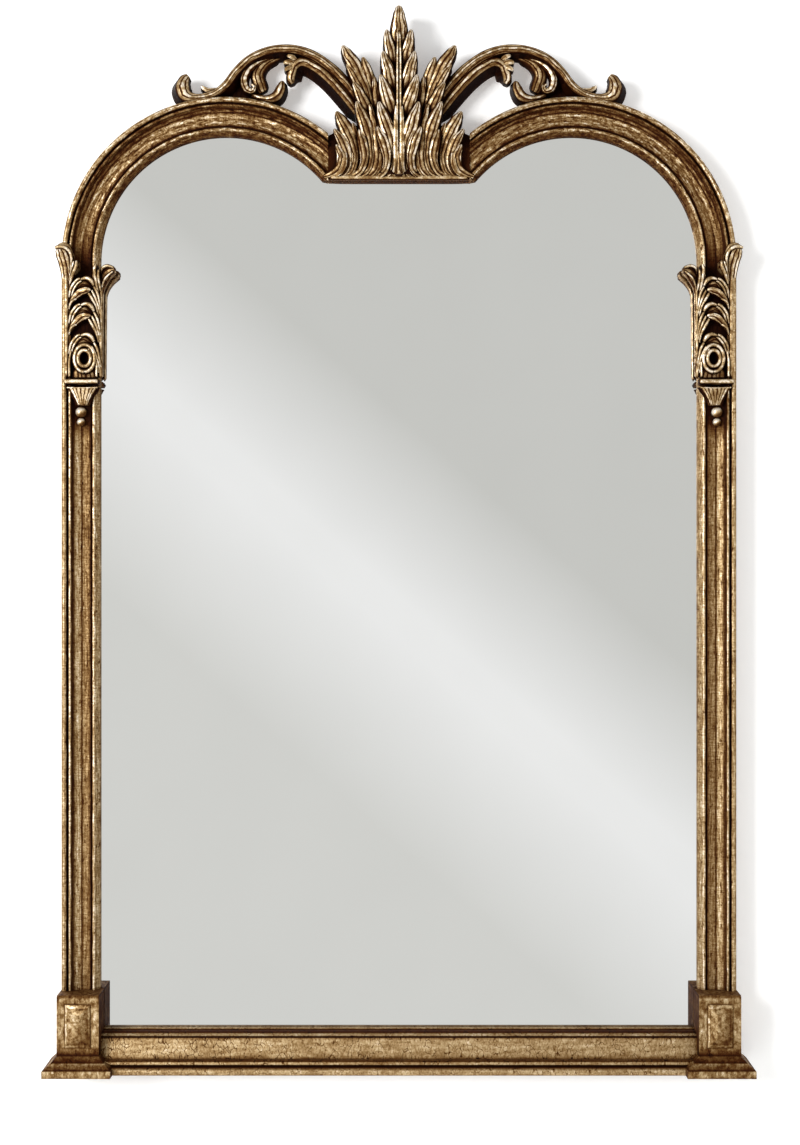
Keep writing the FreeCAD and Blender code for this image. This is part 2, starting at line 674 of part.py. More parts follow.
# Screws go in from the back. Each screw leaves a drill that cuts its hole in whatever it passes
def screw(x, z, head_lift, length):
    shank = Part.makeCylinder(SCREW_RADIUS, head_lift + length, at(x, -head_lift, z), Vector(0, -1, 0))
    head = Part.makeCylinder(SCREW_HEAD_RADIUS, SCREW_HEAD_HEIGHT, at(x, -head_lift, z), Vector(0, 1, 0))
    drill_start = at(x, -head_lift - BEYOND, z)
    drill_radius = SCREW_RADIUS + SCREW_CLEARANCE
    drill_length = head_lift + length + BEYOND
    drills.append(Part.makeCylinder(drill_radius, drill_length, drill_start, Vector(0, -1, 0)))
    return fused([shank, head])


def plate(x0, x1, z0, z1):
    return box(x0, x1, -PLATE_THICKNESS, 0, z0, z1)


# Corner brace: an L of flat steel over the joints of the stile, the plinth and the rail
half_plate = PLATE_WIDTH / 2
corner_brace = fused([
    plate(LAND_X - half_plate, LAND_X + half_plate, BRACE_HEIGHT - half_plate, BRACE_HEIGHT + BRACE_UPRIGHT),
    plate(LAND_X - half_plate, LAND_X + BRACE_FOOT, BRACE_HEIGHT - half_plate, BRACE_HEIGHT + half_plate),
])
brace_top = BRACE_HEIGHT + BRACE_UPRIGHT - PLATE_END
brace_end = LAND_X + BRACE_FOOT - PLATE_END
brace_spots = [
    (LAND_X, BRACE_HEIGHT),
    (LAND_X, BRACE_HEIGHT + PLATE_WIDTH + PLATE_END),
    (LAND_X, brace_top - PLATE_WIDTH),
    (LAND_X, brace_top),
    (brace_end - 2 * PLATE_WIDTH, BRACE_HEIGHT),
    (brace_end, BRACE_HEIGHT),
]

# Stile plate: straight steel over the joint of the stile and the arch
stile_plate = plate(LAND_X - half_plate, LAND_X + half_plate,
                    SPRING_HEIGHT - STILE_PLATE_LENGTH / 2, SPRING_HEIGHT + STILE_PLATE_LENGTH / 2)
stile_plate_spots = [
    (LAND_X, SPRING_HEIGHT - STILE_PLATE_SCREW),
    (LAND_X, SPRING_HEIGHT + STILE_PLATE_SCREW),
]

# Crest plate: straight steel over the joints of the two arches and the crest block
crest_plate_z = CREST_HEIGHT + CREST_PLATE_RISE
crest_plate_end = CREST_SIDE_X + CREST_PLATE_LAP
crest_plate = plate(-crest_plate_end, crest_plate_end, crest_plate_z - half_plate, crest_plate_z + half_plate)
crest_plate_spots = [
    (-crest_plate_end + PLATE_END, crest_plate_z),
    (-CREST_SIDE_X + CREST_PLATE_SCREW, crest_plate_z),
]
plate_screws = []
for x, z in brace_spots + stile_plate_spots + crest_plate_spots:
    plate_screws.append(screw(x, z, PLATE_THICKNESS, SCREW_LENGTH))

# Crest screws: from the back through the crest block into the carved leaves
crest_screw_z = CREST_HEIGHT + CREST_SCREW_RISE * CREST_GROWTH
crest_screw_middle = screw(0, crest_screw_z, 0, CREST_SCREW_LENGTH)
crest_screw_side = screw(-CREST_SCREW_SPREAD * CREST_GROWTH, crest_screw_z, 0, CREST_SCREW_LENGTH)


# Turn button: a pear-shaped plate that lies over the backing board and swings on its screw
def turn_button(x, z, direction):
    lean = math.asin((BUTTON_PIVOT_RADIUS - BUTTON_NOSE_RADIUS) / BUTTON_REACH)
    along = (math.cos(direction), math.sin(direction))

    def spot(run, side):
        return at(x + along[0] * run - along[1] * side, -BUTTON_LIFT, z + along[1] * run + along[0] * side)

    heel = (BUTTON_PIVOT_RADIUS * math.sin(lean), BUTTON_PIVOT_RADIUS * math.cos(lean))
    nose = (BUTTON_REACH + BUTTON_NOSE_RADIUS * math.sin(lean), BUTTON_NOSE_RADIUS * math.cos(lean))
    shape = outline(
        spot,
        heel,
        [
            ((-BUTTON_PIVOT_RADIUS, 0), (heel[0], -heel[1])),
            (nose[0], -nose[1]),
            ((BUTTON_REACH + BUTTON_NOSE_RADIUS, 0), nose),
        ],
    )
    bore = Part.makeCylinder(SCREW_RADIUS + BUTTON_PLAY, BUTTON_THICKNESS, spot(0, 0), Vector(0, 1, 0))
    return slab(shape, -BUTTON_THICKNESS).cut(bore)


button_spots = [(LAND_X, height, 0.0) for height in BUTTON_HEIGHTS]
button_spots.append((-ARCH_X, SPRING_HEIGHT + ARCH_RADIUS + LAND_CENTRE, -math.pi / 2))
button_spots.append((-RAIL_BUTTON_X, RAIL_BUTTON_HEIGHT, math.pi / 2))
button_names = ("lower_turn_button", "upper_turn_button", "arch_turn_button", "rail_turn_button")
button_screws = []
for name, (x, z, direction) in zip(button_names, button_spots):
    add_pair(name, turn_button(x, z, direction))
    button_screws.append(screw(x, z, BUTTON_LIFT + BUTTON_THICKNESS + BUTTON_PLAY, SCREW_LENGTH))

# Strap hanger: a steel strap screwed to the stile, rolled into an eye at its top
eye_centre = at(LAND_X, -STRAP_EYE_RADIUS, HANGER_HEIGHT)
strap_side = Vector(-STRAP_WIDTH / 2, 0, 0)
strap = fused([
    box(LAND_X - STRAP_WIDTH / 2, LAND_X + STRAP_WIDTH / 2, -STRAP_THICKNESS, 0,
        HANGER_HEIGHT - STRAP_LENGTH, HANGER_HEIGHT),
    Part.makeCylinder(STRAP_EYE_RADIUS, STRAP_WIDTH, eye_centre + strap_side, Vector(1, 0, 0)),
]).cut(Part.makeCylinder(EYE_BORE, STRAP_WIDTH, eye_centre + strap_side, Vector(1, 0, 0)))
strap_screws = []
for below_eye in STRAP_SCREWS:
    strap_screws.append(screw(LAND_X, HANGER_HEIGHT - below_eye, STRAP_THICKNESS, SCREW_LENGTH))

# D-ring: a round steel wire, straight where it turns in the eye, leaning to the frame at rest
ring_radius = RING_INNER_RADIUS + RING_WIRE
ring_parts = []
for side in (-1, 1):
    corner = eye_centre + Vector(side * ring_radius, 0, 0)
    ring_parts.append(Part.makeSphere(RING_WIRE, corner))
    ring_parts.append(Part.makeCylinder(RING_WIRE, RING_LEG, corner, Vector(0, 0, 1)))
ring_parts.append(Part.makeCylinder(
    RING_WIRE, 2 * ring_radius, eye_centre - Vector(ring_radius, 0, 0), Vector(1, 0, 0)))
bow_centre = eye_centre + Vector(0, 0, RING_LEG)
bow_section = Part.Face(Part.Wire(Part.makeCircle(
    RING_WIRE, bow_centre - Vector(ring_radius, 0, 0), Vector(0, 0, 1))))
ring_parts.append(bow_section.revolve(bow_centre, Vector(0, 1, 0), 180))
d_ring = fused(ring_parts)
d_ring.rotate(eye_centre, Vector(1, 0, 0), RING_LEAN)

# Wall bumper: a round rubber foot on the stile that keeps the frame off the wall
bumper = Part.makeCylinder(BUMPER_RADIUS, BUMPER_THICKNESS, at(LAND_X, 0, BUMPER_HEIGHT), Vector(0, 1, 0))


# Dowels and pins: each is centred on a joint and leaves a drill, like the screws
def peg(radius, length, middle, direction):
    start = middle - direction * (length / 2)
    drills.append(Part.makeCylinder(radius + DOWEL_CLEARANCE, length, start, direction))
    return Part.makeCylinder(radius, length, start, direction)


up = Vector(0, 0, 1)
across = Vector(1, 0, 0)
forward = Vector(0, -1, 0)
crest_dowel_z = crest_shoulder - CREST_DOWEL_DROP
dowels = [
    peg(DOWEL_RADIUS, DOWEL_LENGTH, at(LAND_X, STILE_DOWEL_DEPTH, PLINTH_TOP), up),
    peg(DOWEL_RADIUS, DOWEL_LENGTH, at(LAND_X, STILE_DOWEL_DEPTH, SPRING_HEIGHT), up),
    peg(DOWEL_RADIUS, DOWEL_LENGTH, at(-PLINTH_INNER_X, RAIL_DOWEL_DEPTH, RAIL_DOWEL_HEIGHT), across),
    peg(DOWEL_RADIUS, DOWEL_LENGTH, at(-CREST_SIDE_X, STILE_DOWEL_DEPTH, crest_dowel_z), across),
]
cove_depth = (COVE_INNER_DEPTH + COVE_OUTER_DEPTH) / 2 - COVE_SAG
pins = []
for rise in CORBEL_PIN_RISES:
    pins.append(peg(PIN_RADIUS, PIN_LENGTH, on_corbel(0, cove_depth, rise), forward))
pin_depth = (SCROLL_BACK + VOLUTE_DEPTH) / 2
for scroll_x, scroll_z, width in (outer_scroll_line[2], volute_line[4]):
    pins.append(peg(PIN_RADIUS, PIN_LENGTH, on_arch(scroll_x, pin_depth, scroll_z - width / 2), up))


# Every drill cuts its hole on both sides of the mirror
all_drills = Part.makeCompound(drills + [mirrored(drill) for drill in drills])


def drilled(shape):
    return shape.cut(all_drills)


def both_sides(left_shapes):
    return left_shapes + [mirrored(shape) for shape in left_shapes]


pieces["bottom_rail"] = drilled(rail)
pieces["crest_block"] = drilled(crest_block)
pieces["crest_centre_leaf"] = drilled(centre_leaf)
pieces["crest_plate"] = drilled(crest_plate)
add_pair("stile", drilled(stile))
add_pair("arch", drilled(arch))
add_pair("plinth", drilled(plinth))
add_pair("plinth_tablet", tablet)
add_pair("crest_leaf", drilled(side_leaf))
add_pair("crest_low_leaf", drilled(low_leaf))
add_pair("outer_scroll", drilled(outer_scroll))
add_pair("inner_scroll", inner_scroll)
add_pair("volute", drilled(volute))
add_pair("corbel", drilled(corbel))
add_pair("corbel_ledge", ledge)
add_pair("corbel_drop", drop)
add_pair("corbel_beads", Part.makeCompound(beads))
add_pair("corner_brace", drilled(corner_brace))
add_pair("stile_plate", drilled(stile_plate))
add_pair("hanger_strap", drilled(strap))
add_pair("d_ring", d_ring)
pieces["mirror_glass"] = mirror_glass
pieces["felt_tape"] = felt_tape
pieces["cushion_sheet"] = cushion_sheet
pieces["backing_board"] = backing_board
pieces["wall_bumpers"] = Part.makeCompound(both_sides([bumper]))
pieces["plate_screws"] = Part.makeCompound(both_sides(plate_screws))
pieces["crest_screws"] = Part.makeCompound([crest_screw_middle] + both_sides([crest_screw_side]))
pieces["turn_button_screws"] = Part.makeCompound(both_sides(button_screws))
pieces["hanger_screws"] = Part.makeCompound(both_sides(strap_screws))
pieces["frame_dowels"] = Part.makeCompound(both_sides(dowels))
pieces["carving_pins"] = Part.makeCompound(both_sides(pins))

for name, shape in pieces.items():
    shape.exportStep("parts/" + name + ".step")
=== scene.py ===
import math

import bmesh
import bpy
from mathutils import Matrix, Vector
from mathutils.geometry import interpolate_bezier


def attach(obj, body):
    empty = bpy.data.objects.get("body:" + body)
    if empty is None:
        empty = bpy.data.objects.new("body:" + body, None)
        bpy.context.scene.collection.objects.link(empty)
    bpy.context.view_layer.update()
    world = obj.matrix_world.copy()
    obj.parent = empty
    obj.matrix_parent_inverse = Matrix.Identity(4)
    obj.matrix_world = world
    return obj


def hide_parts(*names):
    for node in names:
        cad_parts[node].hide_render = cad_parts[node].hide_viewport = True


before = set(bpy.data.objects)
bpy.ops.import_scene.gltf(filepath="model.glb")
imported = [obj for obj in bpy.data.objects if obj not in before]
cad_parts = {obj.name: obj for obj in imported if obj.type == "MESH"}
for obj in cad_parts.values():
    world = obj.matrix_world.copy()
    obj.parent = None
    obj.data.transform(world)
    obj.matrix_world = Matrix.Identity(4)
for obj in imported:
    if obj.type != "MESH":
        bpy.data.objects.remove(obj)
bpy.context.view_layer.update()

# Bottom rail
# A moulded length of gilt softwood between the two plinths: lip, ogee, sloping crackled field,
# fillet and a half-round base. Its gold leaf is glazed dark brown and rubbed back on the high parts;
# its grooves and corners also carry painted shade.
MM = 0.001
RAIL_HEIGHT = 34.0 * MM


def add_node(tree, kind, **settings):
    node = tree.nodes.new(kind)
    for name, value in settings.items():
        setattr(node, name, value)
    return node


def feed(tree, socket, source):
    """Links a socket to another one, or sets it to a plain value."""
    if isinstance(source, bpy.types.NodeSocket):
        tree.links.new(source, socket)
    else:
        socket.default_value = source


def calculate(tree, operation, *values):
    node = add_node(tree, "ShaderNodeMath", operation=operation)
    for socket, value in zip(node.inputs, values):
        feed(tree, socket, value)
    return node.outputs[0]


def times(tree, first, second):
    return calculate(tree, "MULTIPLY", first, second)


def axes(tree, vector):
    """The X, Y and Z of a vector."""
    node = add_node(tree, "ShaderNodeSeparateXYZ")
    feed(tree, node.inputs[0], vector)
    return node.outputs


def surface_normal(tree):
    return axes(tree, add_node(tree, "ShaderNodeNewGeometry").outputs["Normal"])


def noise(tree, vector, scale, detail=3.0, roughness=0.55):
    node = add_node(tree, "ShaderNodeTexNoise")
    feed(tree, node.inputs["Vector"], vector)
    node.inputs["Scale"].default_value = scale
    node.inputs["Detail"].default_value = detail
    node.inputs["Roughness"].default_value = roughness
    return node.outputs["Fac"]


def noise_colour(tree, vector, scale):
    node = add_node(tree, "ShaderNodeTexNoise")
    feed(tree, node.inputs["Vector"], vector)
    node.inputs["Scale"].default_value = scale
    return node.outputs["Color"]


def spread(tree, value, low, high, to_low=0.0, to_high=1.0):
    """Maps a value from one range to another, smoothly and without running past its ends."""
    node = add_node(tree, "ShaderNodeMapRange", interpolation_type="SMOOTHSTEP")
    feed(tree, node.inputs["Value"], value)
    for name, number in (("From Min", low), ("From Max", high), ("To Min", to_low), ("To Max", to_high)):
        node.inputs[name].default_value = number
    return node.outputs["Result"]


def shade_by(tree, tone, mask, low, high, to_low, to_high):
    """Multiplies a tone by a mask that is mapped to a new range."""
    return times(tree, tone, spread(tree, mask, low, high, to_low, to_high))


def shades(tree, value, stops):
    """Colour ramp through (place, colour) stops."""
    node = add_node(tree, "ShaderNodeValToRGB")
    ramp = node.color_ramp
    while len(ramp.elements) < len(stops):
        ramp.elements.new(1.0)
    for element, (place, colour) in zip(ramp.elements, stops):
        element.position = place
        element.color = (*colour, 1.0)
    feed(tree, node.inputs["Fac"], value)
    return node.outputs["Color"]


def tones(tree, value, stops):
    """Grey ramp through (place, tone) stops, read as one number."""
    return shades(tree, value, [(place, (tone, tone, tone)) for place, tone in stops])


def new_group(name, inputs, outputs):
    group = bpy.data.node_groups.new(name, "ShaderNodeTree")
    for socket_name, kind in inputs:
        group.interface.new_socket(socket_name, in_out="INPUT", socket_type="NodeSocket" + kind)
    for socket_name, kind in outputs:
        group.interface.new_socket(socket_name, in_out="OUTPUT", socket_type="NodeSocket" + kind)
    return group, add_node(group, "NodeGroupInput"), add_node(group, "NodeGroupOutput")


def new_material(name):
    material = bpy.data.materials.new(name)
    material.use_nodes = True
    tree = material.node_tree
    return material, tree, tree.nodes["Principled BSDF"]


def finish_cad(material, *node_names):
    """Gives a material to solids that keep their own shape."""
    for node_name in node_names:
        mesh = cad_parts[node_name].data
        mesh.materials.clear()
        mesh.materials.append(material)


def both(name):
    return "left_" + name, "right_" + name


def make_gilding():
    """Gold leaf under a dark glaze. Tone runs from glaze and painted shade in the recesses to worn leaf and
    painted highlights on the ridges.
    """
    group, given, out = new_group(
        "aged_gilding",
        [("Vector", "Vector"), ("Tone", "Float"), ("Crackle", "Float")],
        [("Color", "Color"), ("Metallic", "Float"), ("Roughness", "Float"), ("Height", "Float")],
    )
    vector = given.outputs["Vector"]
    grain = noise(group, vector, 1000.0, 1.0)
    mottle = noise(group, vector, 480.0, 3.0, 0.65)
    wear = noise(group, vector, 170.0, 2.0)
    patches = noise(group, vector, 45.0, 2.0)
    specks = spread(group, noise(group, vector, 1300.0, 1.0), 0.64, 0.72)
    bent = add_node(group, "ShaderNodeVectorMath", operation="MULTIPLY_ADD")
    feed(group, bent.inputs[0], noise_colour(group, vector, 240.0))
    bent.inputs[1].default_value = (0.004, 0.004, 0.004)
    feed(group, bent.inputs[2], vector)
    cells = add_node(group, "ShaderNodeTexVoronoi", feature="DISTANCE_TO_EDGE")
    feed(group, cells.inputs["Vector"], bent.outputs[0])
    cells.inputs["Scale"].default_value = 250.0
    cracks = spread(group, cells.outputs["Distance"], 0.0, 0.07, 1.0, 0.0)
    cracks = times(group, cracks, given.outputs["Crackle"])
    cracks = times(group, cracks, spread(group, wear, 0.40, 0.60))
    rubbed = 1.0
    for layer, strength in ((grain, 0.60), (mottle, 0.90), (wear, 0.50), (patches, 0.40)):
        change = calculate(group, "SUBTRACT", layer, 0.5)
        rubbed = calculate(group, "MULTIPLY_ADD", change, strength, rubbed)
    tone = times(group, given.outputs["Tone"], rubbed)
    tone = calculate(group, "MULTIPLY_ADD", cracks, -0.42, tone)
    tone = calculate(group, "MULTIPLY_ADD", specks, -0.30, tone)
    colour = shades(group, tone, [
        (0.00, (0.007, 0.0012, 0.0004)),
        (0.16, (0.042, 0.0105, 0.0018)),
        (0.34, (0.134, 0.0640, 0.0185)),
        (0.52, (0.282, 0.1760, 0.0760)),
        (0.72, (0.490, 0.3540, 0.1900)),
        (0.88, (0.720, 0.5750, 0.4000)),
        (1.00, (0.930, 0.8200, 0.6700)),
    ])
    feed(group, out.inputs["Color"], colour)
    feed(group, out.inputs["Metallic"], spread(group, tone, 0.15, 0.55, 0.0, 0.66))
    feed(group, out.inputs["Roughness"], spread(group, tone, 0.10, 0.90, 0.68, 0.42))
    feed(group, out.inputs["Height"], calculate(group, "MULTIPLY_ADD", cracks, -0.8, mottle))
    return group


gilding = make_gilding()


def gild(tree, shader, vector, tone, crackle):
    """Puts the gilding on a material's shader, with a fine relief from its own grain."""
    leaf = add_node(tree, "ShaderNodeGroup", node_tree=gilding)
    feed(tree, leaf.inputs["Vector"], vector)
    feed(tree, leaf.inputs["Tone"], tone)
    feed(tree, leaf.inputs["Crackle"], crackle)
    for output, socket in (("Color", "Base Color"), ("Metallic", "Metallic"), ("Roughness", "Roughness")):
        feed(tree, shader.inputs[socket], leaf.outputs[output])
    shader.inputs["Specular IOR Level"].default_value = 0.03
    bump = add_node(tree, "ShaderNodeBump")
    bump.inputs["Strength"].default_value = 0.35
    bump.inputs["Distance"].default_value = 0.0006
    feed(tree, bump.inputs["Height"], leaf.outputs["Height"])
    feed(tree, shader.inputs["Normal"], bump.outputs["Normal"])


def object_place(tree):
    return add_node(tree, "ShaderNodeTexCoord").outputs["Object"]


def stretched(tree, vector, scale):
    node = add_node(tree, "ShaderNodeMapping")
    feed(tree, node.inputs["Vector"], vector)
    node.inputs["Scale"].default_value = scale
    return node.outputs["Vector"]


def occlusion_shade(tree, reach):
    """How open a spot is to light from round about: near 0 deep in a corner, 1 on an open face. Tone
    darkened by it is painted shade.
    """
    node = add_node(tree, "ShaderNodeAmbientOcclusion", samples=8)
    node.inputs["Distance"].default_value = reach
    return node.outputs["AO"]


def stain_back(tree, tone):
    """Keeps the gilding off the back of the frame, which is only stained brown."""
    facing = surface_normal(tree)
    stain = noise(tree, stretched(tree, object_place(tree), (60.0, 60.0, 9.0)), 1.0, 4.0)
    mix = add_node(tree, "ShaderNodeMix")
    feed(tree, mix.inputs["Factor"], spread(tree, facing["Y"], 0.60, 0.90))
    feed(tree, mix.inputs["A"], tone)
    feed(tree, mix.inputs["B"], spread(tree, stain, 0.30, 0.70, 0.20, 0.36))
    return mix.outputs["Result"]


def rail_gilding():
    material, tree, shader = new_material("gilt_rail")
    place = object_place(tree)
    height = axes(tree, place)
    level = calculate(tree, "DIVIDE", height["Z"], RAIL_HEIGHT)
    # from the base up: half-round, groove, fillet, sloping field, groove, ogee and lip; the grooves are
    # dark with glaze and painted shade, the rounded parts light with worn leaf and painted highlights
    tone = tones(tree, level, [
        (0.00, 0.34), (0.03, 0.60), (0.14, 0.68), (0.18, 0.40), (0.20, 0.03), (0.235, 0.05), (0.25, 0.66),
        (0.30, 0.58), (0.33, 0.06), (0.36, 0.42), (0.42, 0.56), (0.62, 0.63), (0.80, 0.60), (0.845, 0.42),
        (0.86, 0.03), (0.88, 0.05), (0.89, 0.66), (0.925, 0.66), (0.94, 0.16), (0.97, 0.14), (0.985, 0.60),
    ])
    smears = noise(tree, stretched(tree, place, (40.0, 100.0, 260.0)), 1.0, 3.0)
    tone = shade_by(tree, tone, smears, 0.32, 0.66, 0.84, 1.12)
    # painted shade: darker in corners and grooves, by the occlusion mask
    tone = shade_by(tree, tone, occlusion_shade(tree, 6 * MM), 0.25, 0.85, 0.35, 1.0)
    gild(tree, shader, stretched(tree, place, (1.0, 1.0, 0.6)), stain_back(tree, tone), 1.0)
    return material


finish_cad(rail_gilding(), "bottom_rail")

# Plinths
# Square blocks of gilt softwood that end the stiles, each on a foot that flares in two slopes.
# A small hipped tablet is glued to the front of each one.
PLINTH_HEIGHT = 68.0 * MM
TABLET_X = 268.65 * MM
TABLET_Z = 41.5 * MM
TABLET_HALF_WIDTH = 10.5 * MM
TABLET_HALF_HEIGHT = 18.0 * MM


def tablet_offsets(tree, place):
    """Distances to the right of and up from the middle of the tablet on either plinth, and the place's
    own distance across the frame and height."""
    parts = axes(tree, place)
    side = calculate(tree, "SIGN", parts["X"])
    rightward = calculate(tree, "SUBTRACT", parts["X"], times(tree, side, TABLET_X))
    upward = calculate(tree, "SUBTRACT", parts["Z"], TABLET_Z)
    return rightward, upward, parts["X"], parts["Z"]


def plinth_gilding():
    material, tree, shader = new_material("gilt_plinth")
    place = object_place(tree)
    rightward, upward, across_frame, height = tablet_offsets(tree, place)
    # from the floor up: the foot's plain edge, its two slopes, the face of the block and its top edge,
    # with dark bands of glaze and painted shade under each step and lighter edges of painted highlight
    tone = tones(tree, calculate(tree, "DIVIDE", height, PLINTH_HEIGHT), [
        (0.00, 0.40), (0.03, 0.54), (0.075, 0.62), (0.088, 0.54), (0.095, 0.08), (0.115, 0.30),
        (0.150, 0.44), (0.162, 0.58), (0.172, 0.10), (0.205, 0.24), (0.235, 0.30), (0.245, 0.06),
        (0.285, 0.26), (0.36, 0.50), (0.50, 0.60), (0.80, 0.60), (0.90, 0.50), (0.945, 0.62),
        (0.968, 0.34), (0.99, 0.30),
    ])
    # painted shade: a dark band round each tablet, where it stands off the block
    beside = calculate(tree, "SUBTRACT", calculate(tree, "ABSOLUTE", rightward), TABLET_HALF_WIDTH)
    above = calculate(tree, "SUBTRACT", calculate(tree, "ABSOLUTE", upward), TABLET_HALF_HEIGHT)
    outside = calculate(tree, "MAXIMUM", beside, above)
    tone = shade_by(tree, tone, outside, 0.1 * MM, 1.6 * MM, 0.70, 1.0)
    streaks = noise(tree, stretched(tree, place, (420.0, 200.0, 110.0)), 1.0, 3.0)
    tone = shade_by(tree, tone, streaks, 0.30, 0.66, 0.72, 1.15)
    blotches = noise(tree, place, 210.0, 3.0)
    tone = shade_by(tree, tone, blotches, 0.34, 0.60, 0.66, 1.14)
    # painted shade: the side faces turned towards the glass are darker
    normal = surface_normal(tree)
    inward = times(tree, normal["X"], calculate(tree, "SIGN", across_frame))
    tone = shade_by(tree, tone, inward, -0.98, -0.80, 0.34, 1.0)
    # painted shade: darker in corners, by the occlusion mask
    tone = shade_by(tree, tone, occlusion_shade(tree, 5 * MM), 0.30, 0.85, 0.30, 1.0)
    gild(tree, shader, stretched(tree, place, (1.0, 1.0, 0.6)), stain_back(tree, tone), 0.30)
    return material


def tablet_gilding():
    material, tree, shader = new_material("gilt_tablet")
    place = object_place(tree)
    rightward, upward, _, _ = tablet_offsets(tree, place)
    wide = calculate(tree, "DIVIDE", calculate(tree, "ABSOLUTE", rightward), TABLET_HALF_WIDTH)
    high = calculate(tree, "DIVIDE", calculate(tree, "ABSOLUTE", upward), TABLET_HALF_HEIGHT)
    worn = calculate(tree, "SUBTRACT", noise(tree, place, 190.0, 3.0), 0.5)
    edge = calculate(tree, "MULTIPLY_ADD", worn, 0.22, calculate(tree, "MAXIMUM", wide, high))
    # the middle is worn lighter; a painted highlight lies on the raised border, with a dark ring of glaze
    # and painted shade inside it and a darker outer edge
    tone = tones(tree, edge, [
        (0.00, 0.60), (0.35, 0.58), (0.70, 0.50), (0.82, 0.36), (0.88, 0.66), (0.95, 0.60), (1.00, 0.34)])
    # painted light: lighter towards the top left, darker towards the bottom right, as if lit from the upper
    # left
    shade = calculate(tree, "SUBTRACT", times(tree, upward, 0.5), rightward)
    tone = shade_by(tree, tone, shade, -14 * MM, 12 * MM, 0.68, 1.20)
    blotches = noise(tree, place, 260.0, 3.0)
    tone = shade_by(tree, tone, blotches, 0.34, 0.60, 0.62, 1.16)
    gild(tree, shader, stretched(tree, place, (0.9, 1.0, 0.7)), tone, 0.20)
    return material


finish_cad(plinth_gilding(), *both("plinth"))
finish_cad(tablet_gilding(), *both("plinth_tablet"))

# Stiles and arches
# One gilt moulding: run straight up each side and turned round over each arch. From the glass
# outward it has a bevel, a bead, a wide cove, a fillet bead and a rounded outer band.
ARCH_X = 147.0 * MM
SPRING = 685.0 * MM
ARCH_RADIUS = 107.0 * MM
MOULDING_WIDTH = 31.3 * MM


def make_moulding_place():
    """Distance across the moulding from the glass, and distance along it, on stile and arch alike."""
    group, given, out = new_group(
        "moulding_place", [("Vector", "Vector")],
        [("Across", "Float"), ("Above", "Float"), ("Along", "Vector")])
    parts = axes(group, given.outputs["Vector"])
    out_from_arch = calculate(group, "SUBTRACT", calculate(group, "ABSOLUTE", parts["X"]), ARCH_X)
    above_spring = calculate(group, "SUBTRACT", parts["Z"], SPRING)
    above_spring = calculate(group, "MAXIMUM", above_spring, 0.0)
    square = calculate(group, "ADD", times(group, out_from_arch, out_from_arch),
                       times(group, above_spring, above_spring))
    across = calculate(group, "SUBTRACT", calculate(group, "SQRT", square), ARCH_RADIUS)
    turn = calculate(group, "ARCTAN2", above_spring, out_from_arch)
    run = calculate(group, "MULTIPLY_ADD", turn, ARCH_RADIUS + MOULDING_WIDTH / 2,
                    calculate(group, "MINIMUM", parts["Z"], SPRING))
    vector = add_node(group, "ShaderNodeCombineXYZ")
    side = calculate(group, "SIGN", parts["X"])
    feed(group, vector.inputs["X"], calculate(group, "MULTIPLY_ADD", side, 0.5, across))
    feed(group, vector.inputs["Y"], parts["Y"])
    feed(group, vector.inputs["Z"], run)
    feed(group, out.inputs["Across"], across)
    feed(group, out.inputs["Above"], above_spring)
    feed(group, out.inputs["Along"], vector.outputs["Vector"])
    return group


